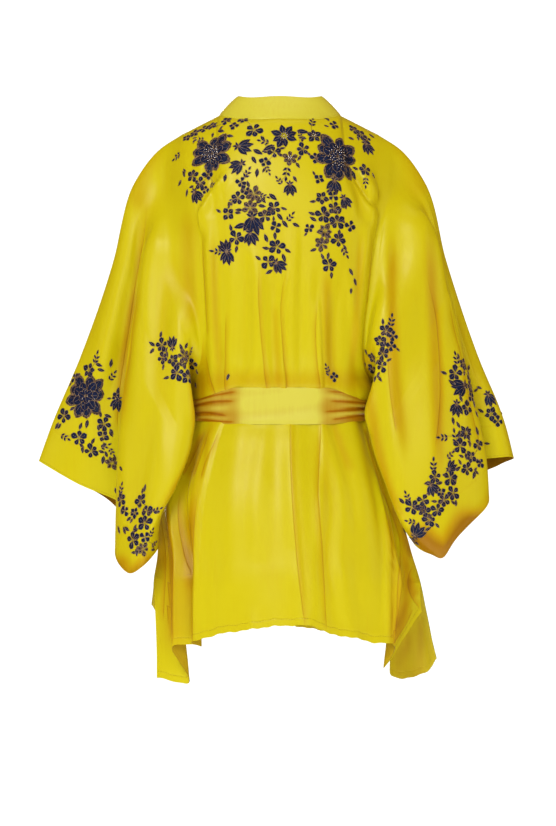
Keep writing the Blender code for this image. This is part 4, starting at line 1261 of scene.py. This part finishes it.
def satin_material(name, light, shade_colour, deepest_shade_colour, roughness, sheen, weave, trough_shade_gain=TROUGH_SHADE_GAIN):
    """Satin: a fine diagonal weave, soft mottling, painted shade in troughs and crisp lines, seams and
    stitched hems.
    """
    nodes = Nodes(name)
    # A crisp line: a painted dark line and painted shadow on one side of it
    near = nodes.attribute("crisp_near")
    gap = nodes.maths("DIVIDE", nodes.attribute("crisp"), nodes.maths("MAXIMUM", near, 0.02))
    line = nodes.falling(nodes.maths("ABSOLUTE", gap), LINE_WIDTH)
    shadow_side = nodes.maths("GREATER_THAN", gap, 0.0)
    beside = nodes.maths("MULTIPLY", nodes.falling(gap, BESIDE_WIDTH), shadow_side)
    crisp = nodes.maths("MULTIPLY", nodes.maths("MULTIPLY", near, 1.2, clamp=True),
                        nodes.weighted((line, LINE_SHADE), (beside, BESIDE_SHADE)))
    mottle = nodes.maths("SUBTRACT", nodes.noise(14.0, detail=3.0), 0.5)
    slubs = nodes.maths("SUBTRACT", nodes.noise((260.0, 260.0, 9.0), detail=2.0), 0.5)
    trough_shade = nodes.maths("MULTIPLY", nodes.attribute("raised"), -trough_shade_gain, clamp=True)
    seam = nodes.groove("seam", 0.0, SEAM_WIDTH)
    # The shade: painted shade from troughs, crisp lines and the painted shade trace, with a seam's darkening
    # and random mottling and slubs; it mixes the colour towards the painted-shade colours
    shade = nodes.weighted((trough_shade, 1.0), (seam, SEAM_SHADE), (mottle, MOTTLE_SHADE), (slubs, SLUB_SHADE),
                           (crisp, 1.0), (nodes.attribute("tone"), 1.0))
    colour = nodes.mix(nodes.maths("ADD", shade, 0.0, clamp=True), light, shade_colour)
    colour = nodes.mix(nodes.maths("SUBTRACT", shade, 1.0, clamp=True), colour, deepest_shade_colour)
    grain = nodes.noise(60.0, detail=2.0)
    rough = nodes.add("MapRange", {0: grain, 3: roughness - 0.05, 4: roughness + 0.05})
    wrinkles = nodes.noise((26.0, 26.0, 7.0), detail=2.0)
    wrinkled = nodes.bump(wrinkles, distance=0.0012, strength=0.35)
    threads = nodes.noise((2600.0, 2600.0, 700.0), detail=1.0, turn=(0.0, 0.8, 0.0))
    woven = nodes.bump(threads, distance=0.00006, strength=weave, below=wrinkled)
    lines = nodes.weighted((nodes.groove("hem", HEM_PLACE, HEM_GROOVE), 0.35),
                           (nodes.groove("seam", 0.0, SEAM_GROOVE), 0.12), (crisp, 1.1))
    lines = nodes.maths("ADD", lines, 0.0, clamp=True)
    pressed = nodes.bump(lines, distance=0.0006, strength=0.9, below=woven, invert=True)
    nodes.fill(nodes.shader, {"Base Color": colour, "Roughness": rough, "Specular IOR Level": 0.42,
                              "Sheen Weight": sheen, "Sheen Roughness": 0.35, "Normal": pressed})
    return nodes.material


# Satins: the lit colour, the painted-shade and deepest painted-shade colours, roughness, sheen, and strength
# of the weave
SATIN = satin_material("satin", (0.70, 0.69, 0.010), (0.60, 0.43, 0.0005), (0.42, 0.23, 0.0),
                       0.41, 0.05, 0.5)
# The band's paler colour is a painted highlight
HIGHLIT_BAND = satin_material("band_satin_highlight", (0.76, 0.80, 0.10), (0.60, 0.40, 0.002), (0.40, 0.20, 0.0005),
                      0.38, 0.1, 0.5)
REVERSE = satin_material("satin_reverse", (0.64, 0.58, 0.012), (0.50, 0.33, 0.003), (0.32, 0.14, 0.001),
                         0.55, 0.05, 0.6)
# The sleeves' reverse is darker as painted shade inside the sleeves
SHADED_SLEEVE_REVERSE = satin_material("sleeve_reverse", (0.42, 0.25, 0.004), (0.32, 0.16, 0.002), (0.20, 0.08, 0.001),
                        0.62, 0.05, 0.6)
# The sash's paler light colour is partly its own and partly a painted highlight on its lit middle
SASH = satin_material("sash_satin", (0.74, 0.78, 0.13), (0.48, 0.24, 0.002), (0.26, 0.09, 0.001),
                      0.38, 0.1, 0.5, SASH_TROUGH_SHADE_GAIN)


def thread_material(name, colour, other, roughness, metallic, rib, sheen=0.0, specular=0.5):
    """Thread: two close colours in a fine mottle, with a ribbed surface."""
    nodes = Nodes(name)
    blend = nodes.add("MapRange", {0: nodes.noise(420.0, detail=2.0), 1: 0.38, 2: 0.66})
    place = nodes.add("TexCoord", output="Object")
    ribs = nodes.add("TexWave", {"Vector": place, "Scale": rib, "Distortion": 3.0, "Detail": 1.0},
                     bands_direction="DIAGONAL")
    nodes.fill(nodes.shader, {"Base Color": nodes.mix(blend, colour, other), "Roughness": roughness,
                              "Metallic": metallic, "Sheen Weight": sheen, "Specular IOR Level": specular,
                              "Normal": nodes.bump(ribs, distance=0.00025, strength=0.8)})
    return nodes.material


# Threads: two colours, roughness, metal, fineness of the ribs, sheen, and shine
THREAD = thread_material("sewing_thread", (0.50, 0.40, 0.01), (0.66, 0.56, 0.03), 0.5, 0.0, 700.0)
LACE_MATERIALS = (
    thread_material("lace_navy", (0.002, 0.010, 0.055), (0.006, 0.030, 0.13), 0.45, 0.0, 380.0, 0.04, 0.3),
    thread_material("lace_cord", (0.27, 0.18, 0.10), (0.55, 0.44, 0.31), 0.42, 0.2, 500.0),
    thread_material("bead_silver", (0.62, 0.64, 0.68), (0.8, 0.82, 0.86), 0.16, 1.0, 60.0),
    thread_material("lace_net", (0.035, 0.035, 0.05), (0.27, 0.21, 0.15), 0.6, 0.0, 900.0),
)
NAVY, CORD, BEAD, NET = range(4)


# A cord's radius in mm, and the share of it at a free end
CORD_RADIUS = 0.32
FREE_END = 0.35


class Ground:
    """The outer faces of the cloths, for pieces that are placed on them."""

    def __init__(self, cloths):
        starts = np.cumsum([0] + [cloth.raised.size for cloth in cloths])
        self.quads = np.concatenate([grid_quads(*cloth.raised.shape, cloth.closed) + start
                                     for cloth, start in zip(cloths, starts)])
        self.normals = np.concatenate([cloth.normals.reshape(-1, 3) for cloth in cloths])
        vertices = np.concatenate([cloth.points.reshape(-1, 3) for cloth in cloths])
        self.tree = BVHTree.FromPolygons(vertices.tolist(), self.quads.tolist())

    def normal(self, index):
        return unit(self.normals[self.quads[index]].mean(axis=0))

    def look(self, pixel):
        """The place on the cloth that the camera sees at a pixel, with its normal, or None."""
        step = MM_PER_PIXEL / SHARP_DISTANCE
        way = Vector(((PICTURE_MIDDLE[0] - pixel[0]) * step, -1.0, (PICTURE_MIDDLE[1] - pixel[1]) * step))
        place, _, index, _ = self.tree.ray_cast(Vector(CAMERA), way.normalized())
        return None if place is None else (np.array(place), self.normal(index))

    def settle(self, points):
        """The nearest places on the cloth, and their normals."""
        found = [self.tree.find_nearest(Vector(point)) for point in points]
        places = np.array([place for place, *_ in found])
        return places, np.array([self.normal(index) for _, _, index, _ in found])


class Mesh:
    """Triangles that are gathered into one joined piece, with a material for each."""

    def __init__(self):
        self.vertices, self.faces, self.slots, self.count = [], [], [], 0

    def add(self, vertices, faces, slot):
        self.vertices.append(vertices)
        self.faces.append(faces + self.count)
        self.slots.append(np.full(len(faces), slot))
        self.count += len(vertices)

    def tube(self, places, normals, radius, slot, closed=False, sides=4):
        """A cord through places on the cloth, thin at its free ends."""
        across = unit(np.cross(slope(places, 0, closed), normals))
        turns = 2 * math.pi * (np.arange(sides) + 0.5) / sides
        size = np.full(len(places), radius)
        if not closed:
            size[[0, -1]] *= FREE_END
        spokes = (np.cos(turns)[None, :, None] * normals[:, None]
                  + np.sin(turns)[None, :, None] * across[:, None])
        self.sweep(places[:, None] + size[:, None, None] * spokes, closed, slot)

    def sweep(self, rings, closed, slot):
        """A closed solid through rings of points."""
        count, sides = rings.shape[:2]
        faces = [triangles(grid_quads(count + closed, sides, True) % (count * sides))]
        if not closed:
            k = np.arange(1, sides - 1)
            last = (count - 1) * sides
            faces += [np.stack([k, k + 1, 0 * k], 1), np.stack([k + 1, k, 0 * k], 1) + last]
        self.add(rings.reshape(-1, 3), np.concatenate(faces), slot)

    def ball(self, centre, radius, slot):
        """A small bead of eight-sided rings."""
        rings, sides = 4, 8
        polar = math.pi * np.arange(1, rings + 1)[:, None] / (rings + 1)
        points = np.concatenate([ball_points(polar, sides).reshape(-1, 3), [(0, 0, 1), (0, 0, -1)]])
        j = np.arange(sides)
        k, last, top = (j + 1) % sides, (rings - 1) * sides, 0 * j + rings * sides
        faces = [triangles(grid_quads(rings, sides, True)), np.stack([top, j, k], 1),
                 np.stack([top + 1, last + k, last + j], 1)]
        self.add(points * radius + centre, np.concatenate(faces), slot)

    def piece(self, name, materials):
        made = build_object(name, np.concatenate(self.vertices), np.concatenate(self.faces), materials,
                            np.concatenate(self.slots))
        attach(made, "root")
        return made


# The highest pixel of the lace, how far stems reach in pixels, and how far they may leap on the cloth in mm
LACE_TOP = 119.0
STEM_REACH = 15
STEM_LEAP = 8

# A petal in mm: the height of its rim, of the cord on that and of its vein, and the depth of its rim
RIM_RISE = 0.28
RIM_CORD = 0.42
VEIN_LIFT = 0.05
RIM_DEPTH = 0.2

# Flowers: the petals' width for each number of them, the size in mm from which they have veins, and the turn
# from one flower to the next
PETAL_WIDTHS = {4: 0.78, 5: 0.68, 6: 0.58, 8: 0.50}
VEIN_SIZE = 9
FLOWER_TURN = 137.5

# Leaves beside flowers: the turns, the size in pixels from which there are two, their place, size and lean
LEAF_TURN = 97.0
SECOND_LEAF = 155
TWO_LEAVES = 6.5
LEAF_PLACE = 1.42
LEAF_SIZE = 0.92
LEAF_LEAN = 14

# Beads in mm, each a radius and the height of its middle: in a flower's middle and in a ring round that
MIDDLE_BEAD = (1.2, 1.8)
RING_BEAD = (0.95, 1.55)

# A sprig's pairs of leaves: their places, and their leans in degrees
SPRIG_PAIRS = (-0.42, -0.06)
SPRIG_LEANS = (-48, 46)

# A tulip's petals: lean in degrees, and length. The leans of the leaves of its cup
TULIP_PETALS = ((-38, 0.92), (38, 0.88), (-14, 1.05), (15, 1.0))
TULIP_CUP = (-120, 120, 180)

# The share of a peony's petal inside its netted frill, and where it has none. The leans of its veins,
# and a vein's points along it
NETTED_CORE = 0.87
PLAIN_CORE = 0.97
VEIN_LEANS = (-0.28, 0.28)
VEIN_POINTS = (0.1, 0.35, 0.6, 0.8)

# The peony's beads: how many more than its table says, how far out they reach, the radius of each, what
# every third has more, and the height of their middles
MORE_BEADS = 1.6
BEADS_REACH = 0.46
PEONY_BEAD = (0.75, 0.3, 2.4)

# The peony's rounds of petals: number, foot, length, width, lift, and whether they have netted frills
PEONY_ROUNDS = (
    (9, 0.30, 0.70, 0.50, 0.0, True),
    (7, 0.16, 0.52, 0.40, 0.6, False),
    (6, 0.02, 0.34, 0.28, 1.2, False),
)


def petal_points(kind, length, width, rows, columns, frill=0.0):
    """A petal lying along +x from its foot, as a grid of rows along it and columns across."""
    u = np.linspace(0, 1, rows + 1)[:, None]
    v = np.linspace(-1, 1, columns + 1)[None, :]
    if kind in ("leaf", "point"):
        half = np.sin(math.pi * u ** 0.85) ** 0.9 if kind == "leaf" else np.sin(math.pi * u ** 1.05) ** 0.62
        reach = u + 0 * v
    else:
        half = (0.3 + 0.7 * soft(u, 0, 0.55)) * np.maximum(1 - u ** 5, 0) ** 0.45 * soft(u, -0.12, 0.06)
        reach = u * (1 - 0.14 * (1 - np.abs(v) ** 1.5) * u ** 4 + 0.06 * (np.abs(v) - 0.5) * u)
    wave = 1 + frill * np.sin(u * 19.0 + v * 2.0)
    return np.stack([reach * length, v * half * width / 2 * wave], -1)


def turned(grid, foot, angle):
    """Flat points moved out by a foot and then turned by an angle in degrees."""
    turn = math.radians(angle)
    x, y = grid[..., 0] + foot, grid[..., 1]
    return np.stack([x * math.cos(turn) - y * math.sin(turn), x * math.sin(turn) + y * math.cos(turn)], -1)


class Lace:
    """Flowers and leaves of corded lace, each laid in the plane of the cloth where it sits."""

    def __init__(self, ground):
        self.ground, self.mesh, self.spots = ground, Mesh(), []

    def stand(self, x, y, keep=True):
        """Takes a pixel as the middle of the next motif, and keeps it for the stems."""
        seen = self.ground.look((x, y))
        if seen is None:
            return False
        self.centre, self.normal = seen
        self.right = unit(np.array((-1.0, 0.0, 0.0)) + self.normal * self.normal[0])
        down = np.cross(self.normal, self.right)
        self.down = -down if down[2] > 0 else down
        if keep:
            self.spots.append((x, y))
        return True

    def on_cloth(self, flat):
        """Places and normals on the cloth for points in the motif's plane, in mm."""
        flat = np.asarray(flat, float)
        return self.ground.settle(self.centre + flat[:, :1] * self.right + flat[:, 1:] * self.down)

    def petal(self, kind, length, width, angle, foot=0.0, rows=5, columns=4, dome=0.55, frill=0.0,
              vein=True, middle=(0.0, 0.0), lift=0.0, slot=NAVY):
        """A raised patch of navy threads with a cord round it and often one down its middle."""
        grid = turned(petal_points(kind, length, width, rows, columns, frill), foot, angle) + middle
        places, normals = self.on_cloth(grid.reshape(-1, 2))
        u = np.linspace(0, 1, rows + 1)[:, None]
        v = np.linspace(-1, 1, columns + 1)[None, :]
        rise = RIM_RISE + dome * (1 - v ** 2) ** 0.8 * np.sin(math.pi * np.clip(u, 0.08, 0.92)) ** 0.6 + lift
        top = places + normals * rise.reshape(-1, 1)
        count = len(top)
        index = np.arange(count).reshape(rows + 1, columns + 1)
        rim = rim_of(index)
        below = count + np.arange(len(rim))
        faces = np.concatenate([triangles(grid_quads(rows + 1, columns + 1, False)),
                                triangles(np.stack([rim, np.roll(rim, -1), np.roll(below, -1), below], 1)),
                                np.stack([0 * below[2:] + count, below[2:], below[1:-1]], 1)])
        if np.cross(self.right, self.down) @ self.normal > 0:
            faces = faces[:, ::-1]
        self.mesh.add(np.concatenate([top, places[rim] - normals[rim] * RIM_DEPTH]), faces, slot)
        edge = np.concatenate([index[:, 0], index[::-1, -1]])
        line = places[edge] + normals[edge] * (RIM_CORD + lift)
        self.mesh.tube(line, normals[edge], CORD_RADIUS, CORD, closed=True)
        if vein:
            line = index[:-1, columns // 2]
            self.mesh.tube(top[line] + normals[line] * VEIN_LIFT, normals[line], CORD_RADIUS * 0.75, CORD)

    def cord(self, flat, radius=CORD_RADIUS, closed=False):
        places, normals = self.on_cloth(flat)
        self.mesh.tube(places + normals * radius, normals, radius, CORD, closed)

    def bead(self, across, down, radius, lift):
        places, normals = self.on_cloth([(across, down)])
        self.mesh.ball(places[0] + normals[0] * lift, radius, BEAD)

    def stem(self, start, end, bend):
        """A thin cord over the cloth between two pixels."""
        start, end = np.array(start, float), np.array(end, float)
        side = np.array((start[1] - end[1], end[0] - start[0]))
        seen = [self.ground.look(start + (end - start) * q + side * bend * math.sin(math.pi * q))
                for q in np.linspace(0, 1, 9)]
        if None in seen:
            return
        places, normals = (np.array(part) for part in zip(*seen))
        if np.linalg.norm(np.diff(places, axis=0), axis=1).max() < STEM_LEAP:
            self.mesh.tube(places + normals * 0.3, normals, CORD_RADIUS * 0.85, CORD)

    def flower(self, x, y, size, petals, beads, angle, kind):
        """A small open flower, netted where it has six petals; sizes are in pixels."""
        if not self.stand(x, y):
            return
        size *= MM_PER_PIXEL
        width = size * PETAL_WIDTHS[petals]
        slot = NET if petals == 6 else NAVY
        turns = [angle + 360 * k / petals + 9 * math.sin(5 * k + x) for k in range(petals)]
        for k, turn in enumerate(turns):
            grow = 1 + 0.14 * math.sin(3 * k + y)
            self.petal(kind, size * 0.80 * grow, width * grow, turn, foot=size * 0.2, vein=size > VEIN_SIZE,
                       slot=slot)
        if beads:
            self.bead(0, 0, *MIDDLE_BEAD)
        for turn in turns if slot == NET else ():
            self.petal("leaf", size * 0.5, width * 0.45, turn, foot=size * 0.3, lift=0.5, rows=4,
                       vein=False)
        ring = np.linspace(0, 2 * math.pi, 9)[:-1]
        self.cord(np.stack([np.cos(ring), np.sin(ring)], 1) * size * 0.13, closed=True)
        for k in range(beads):
            turn = 2 * math.pi * k / beads + angle
            self.bead(size * 0.24 * math.cos(turn), size * 0.24 * math.sin(turn), *RING_BEAD)

    def leaf(self, x, y, size, angle):
        if self.stand(x, y, keep=False):
            size *= MM_PER_PIXEL
            self.petal("leaf", size, size * 0.42, angle, foot=-size / 2)

    def leaf_beside(self, x, y, size, turn):
        """A small leaf that points away from a flower."""
        way = math.radians(turn)
        x, y = x + LEAF_PLACE * size * math.cos(way), y + LEAF_PLACE * size * math.sin(way)
        if y > LACE_TOP:
            self.leaf(x, y, LEAF_SIZE * size, turn + LEAF_LEAN)

    def sprig(self, x, y, size, angle):
        """A twig with leaves in pairs and one at its tip."""
        if not self.stand(x, y):
            return
        size *= MM_PER_PIXEL
        way = turned(np.array((1.0, 0.0)), 0, angle)
        side = np.array((-way[1], way[0]))
        line = [way * size * (q - 0.5) + side * size * 0.08 * math.sin(3 * q)
                for q in np.linspace(0, 0.8, 7)]
        self.cord(line, CORD_RADIUS * 0.8)
        for place in SPRIG_PAIRS:
            foot = way * size * place + side * size * 0.04
            for lean in SPRIG_LEANS:
                self.petal("leaf", size * 0.38, size * 0.19, angle + lean, foot=size * 0.03, vein=False,
                           rows=4, middle=foot)
        self.petal("leaf", size * 0.42, size * 0.2, angle, foot=size * 0.3, vein=False, rows=4)

    def tulip(self, x, y, size, angle):
        """A half-open bud with pointed petals and a small cup at its foot."""
        if not self.stand(x, y):
            return
        size *= MM_PER_PIXEL
        foot, cup = (turned(np.array((-size * place, 0.0)), 0, angle) for place in (0.8, 0.85))
        for lean, reach in TULIP_PETALS:
            self.petal("leaf", size * 1.7 * reach, size * 0.72, angle + lean, rows=6, dome=0.6, middle=foot)
        for lean in TULIP_CUP:
            self.petal("leaf", size * 0.6, size * 0.26, angle + lean, middle=cup, rows=4, vein=False)

    def peony(self, x, y, size, angle, squash, beads):
        """A large full flower: navy petals in three rounds, with netted frills round the outer ones."""
        if not self.stand(x, y):
            return
        size *= MM_PER_PIXEL
        for number, foot, length, width, lift, net in PEONY_ROUNDS:
            core = NETTED_CORE if net else PLAIN_CORE
            for k in range(number):
                turn = angle + 360 * (k + 0.5 * (number % 2)) / number + 7 * math.sin(4.1 * k + number)
                stretch = 1 + (squash - 1) * abs(math.sin(math.radians(turn)))
                foot_out = size * foot * stretch
                long = size * length * (1 + 0.13 * math.sin(2.7 * k + 1)) * stretch
                self.petal("point", long * core, size * width * core * stretch, turn, foot=foot_out, rows=8,
                           columns=6, dome=0.7, frill=0.05, lift=lift, vein=not net)
                if net:
                    self.net_veins(long * core, size * width * core, turn, foot_out, lift)
                    self.frill(long, size * width * stretch, turn, foot_out, core, lift)
        radius, more, lift = PEONY_BEAD
        beads = int(beads * MORE_BEADS)
        for k in range(beads):
            turn = 2.4 * k
            out = size * BEADS_REACH * math.sqrt((k + 0.5) / beads)
            self.bead(out * math.cos(turn), out * math.sin(turn) * squash, radius + more * (k % 3 == 0), lift)

    def net_veins(self, length, width, angle, foot, lift):
        """Two thin cords that run out along a petal."""
        for lean in VEIN_LEANS:
            vein = np.array([(length * q, width * lean * q) for q in VEIN_POINTS])
            places, normals = self.on_cloth(turned(vein, foot, angle))
            self.mesh.tube(places + normals * (lift + 1.0), normals, 0.22, CORD)

    def frill(self, length, width, angle, foot, core, lift):
        """A scalloped cord outside a petal, joined to it by fine threads."""
        middle = np.array((length * 0.5, 0.0))
        loops = []
        for share, scallop in ((core, 0.0), (1.0, 0.07)):
            grid = petal_points("point", length * share, width * share, 16, 2)
            loop = np.concatenate([grid[3:, 0], grid[:2:-1, 2]])
            wave = 1 + scallop * np.abs(np.sin(np.arange(len(loop)) * math.pi / 2.5))[:, None]
            loops.append(turned((loop - middle) * wave + middle, foot, angle))
        (near, up), (far, out) = (self.on_cloth(loop) for loop in loops)
        high, low = lift * 0.7, lift * 0.5
        self.mesh.sweep(np.stack([near + up * (0.5 + high), far + out * (0.35 + low), far + out * 0.05,
                                  near + up * 0.05], 1), False, NET)
        self.mesh.tube(far + out * (0.4 + low), out, 0.42, CORD)
        for k in range(len(near) - 1):
            ends = np.array([near[k] + up[k] * (0.4 + high), far[k + 1] + out[k + 1] * (0.4 + low)])
            self.mesh.tube(ends + 0.2 * up[k:k + 2], np.array([up[k], out[k + 1]]), 0.26, CORD, sides=3)

    def join_stems(self):
        """Runs a thin cord from each motif to the nearest earlier one."""
        for i, spot in enumerate(self.spots[1:], 1):
            gaps = [math.dist(spot, other) for other in self.spots[:i]]
            nearest = int(np.argmin(gaps))
            if gaps[nearest] < STEM_REACH:
                self.stem(spot, self.spots[nearest], 0.12 * (-1) ** i)


def make_lace(name, ground):
    lace = Lace(ground)
    for number, entry in enumerate(part.split() for part in LACE[name].split(";")):
        kind, values = entry[0], [float(value) for value in entry[1:]]
        if kind == "f":
            x, y, size, petals, beads = values
            shape = "leaf" if petals == 8 or number % 3 == 0 else "heart"
            lace.flower(x, y, size, int(petals), int(beads), FLOWER_TURN * number, shape)
            turns = (LEAF_TURN * number, LEAF_TURN * number + SECOND_LEAF)
            for turn in turns[:1 + (size >= TWO_LEAVES)]:
                lace.leaf_beside(x, y, size, turn)
        else:
            {"l": lace.leaf, "s": lace.sprig, "t": lace.tulip, "p": lace.peony}[kind](*values)
    lace.join_stems()
    return lace.mesh.piece("lace_" + name, LACE_MATERIALS)


# Stitches: length, gap and radius in mm, and their distances from a hem and from a cuff's edge
STITCH_LENGTH = 2.6
STITCH_GAP = 1.2
STITCH_RADIUS = 0.26
HEM_STITCHES = 9.6
CUFF_STITCHES = 3.0


def stitch(mesh, cloth, distance):
    """Small stitches in a line at this distance from a cloth's lower edge."""
    points, normals = cloth.points[::-1], cloth.normals[::-1]
    steps = np.cumsum(np.linalg.norm(np.diff(points, axis=0), axis=2), axis=0)
    line, up = [], []
    for column in (*range(points.shape[1]), *((0,) if cloth.closed else ())):
        reach = np.concatenate([[0], steps[:, column]])
        row = int(np.searchsorted(reach, distance)) - 1
        q = (distance - reach[row]) / (reach[row + 1] - reach[row])
        line.append(points[row, column] * (1 - q) + points[row + 1, column] * q)
        up.append(normals[row, column])
    line, up = np.array(line), np.array(up)
    lengths = along(line)
    for start in np.arange(2.0, lengths[-1] - STITCH_LENGTH - 2, STITCH_LENGTH + STITCH_GAP):
        at = (start, start + STITCH_LENGTH / 2, start + STITCH_LENGTH)
        places, ups = (np.stack([np.interp(at, lengths, part[:, axis]) for axis in range(3)], 1)
                       for part in (line, up))
        mesh.tube(places + ups * 0.1, ups, STITCH_RADIUS, 0, sides=3)


stitches = Mesh()
for cloth in (back, *fronts.values(), *tails.values()):
    stitch(stitches, cloth, HEM_STITCHES)
for side in SIDES:
    stitch(stitches, sleeves[side][1], CUFF_STITCHES)
sewing = stitches.piece("stitches", [THREAD])
ground = Ground([back, *fronts.values(), *sleeves["left"], *sleeves["right"], band])
laces = {name: make_lace(name, ground) for name in LACE}


def dress(cloth, hem="", seam="", front=SATIN, reverse=REVERSE):
    """Builds a cloth's shell, hangs it on the root and hides the solid it stands for. hem and seam name the
    borders that have them.
    """
    far = np.full(cloth.raised.shape, FAR)
    borders = {key: cloth.border_distance(sides) if sides else far
               for key, sides in (("hem", hem), ("seam", seam))}
    piece = shell(cloth, (front, reverse), borders)
    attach(piece, "root")
    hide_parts(cloth.name.removesuffix("_cloth"))


dress(back, "b", "t")
dress(fronts["left"], "b", "t")
dress(fronts["right"], "b", "t")
dress(band, seam="l", front=HIGHLIT_BAND)
dress(belt, front=SASH)
for side, area in (("left", 0.228), ("right", 0.212)):
    sleeve, cuff = sleeves[side]
    dress(sleeve, seam="tb", reverse=SHADED_SLEEVE_REVERSE)
    dress(cuff, seam="t", reverse=SHADED_SLEEVE_REVERSE)
dress(knot, front=SASH)
for tail in tails.values():
    dress(tail, "b", front=SASH)


# Floor, backdrop and lights, in metres
FLOOR_HEIGHT = -1.4
FLOOR_RADII = (0.5, 1.2, 2.1)
BACKDROP_RADIUS = 9
TURNS = 48


def surface(name, rows, material):
    """A surface of revolution through rows of (radius, height), closed at its first row."""
    turns = np.linspace(0, 2 * math.pi, TURNS + 1)[:-1]
    vertices = [(radius * math.cos(turn), radius * math.sin(turn), height)
                for radius, height in rows for turn in turns]
    faces = [tuple(range(TURNS))[::-1], *grid_quads(len(rows), TURNS, True)[:, ::-1].tolist()]
    mesh = bpy.data.meshes.new(name)
    mesh.from_pydata(vertices, [], faces)
    mesh.materials.append(material)
    mesh.shade_smooth()
    made = link(name, mesh)
    return made


plain = Nodes("floor")
plain.fill(plain.shader, {"Base Color": (0.93, 0.93, 0.93, 1), "Roughness": 0.8,
                          "Emission Color": (1, 1, 1, 1), "Emission Strength": 0.55})
surface("floor", [(radius, FLOOR_HEIGHT) for radius in FLOOR_RADII], plain.material)
glow = Nodes("backdrop")
glow.tree.nodes.remove(glow.shader)
glow.fill(glow.tree.nodes["Material Output"], {"Surface": glow.add("Emission", {"Strength": 1.0})})
backdrop = surface("backdrop", [(BACKDROP_RADIUS * math.cos(lift), BACKDROP_RADIUS * math.sin(lift))
                                for lift in np.linspace(-1.5, 1.5, 25)], glow.material)
for ray in ("diffuse", "glossy", "transmission", "shadow", "volume_scatter"):
    setattr(backdrop, "visible_" + ray, False)

world = bpy.data.worlds.new("studio")
bpy.context.scene.world = world
world.use_nodes = True
world.node_tree.nodes["Background"].inputs["Color"].default_value = (1.0, 0.54, 0.14, 1)
world.node_tree.nodes["Background"].inputs["Strength"].default_value = 0.3

# Soft lights: name, place, the place aimed at, size, and power in watts
for name, place, target, size, power in (
    ("key_light", (0.95, 3.15, 1.35), (0, 0, -0.4), (1.1, 1.3), 45.0),
    ("second_light", (-0.9, 3.2, 0.3), (0, 0, -0.4), (0.9, 1.4), 9.0),
    ("top_light", (0.0, 0.3, 2.2), (0, 0, -0.2), (1.6, 1.2), 7.0),
    ("left_light", (3.0, 1.2, 0.1), (0.2, 0, -0.5), (1.0, 1.6), 4.0),
    ("right_light", (-3.0, 1.2, 0.1), (-0.2, 0, -0.5), (1.0, 1.6), 6.0),
    ("front_light", (0.3, -3.0, -0.25), (0, 0, -0.4), (1.6, 1.8), 42.0),
):
    light = bpy.data.lights.new(name, "AREA")
    light.shape = "RECTANGLE"
    light.size, light.size_y = size
    light.energy = power
    lamp = link(name, light)
    lamp.location = place
    lamp.rotation_euler = (Vector(target) - Vector(place)).to_track_quat("-Z", "Y").to_euler()
view = bpy.context.scene.view_settings
view.view_transform = "Standard"
view.look = "Medium High Contrast"
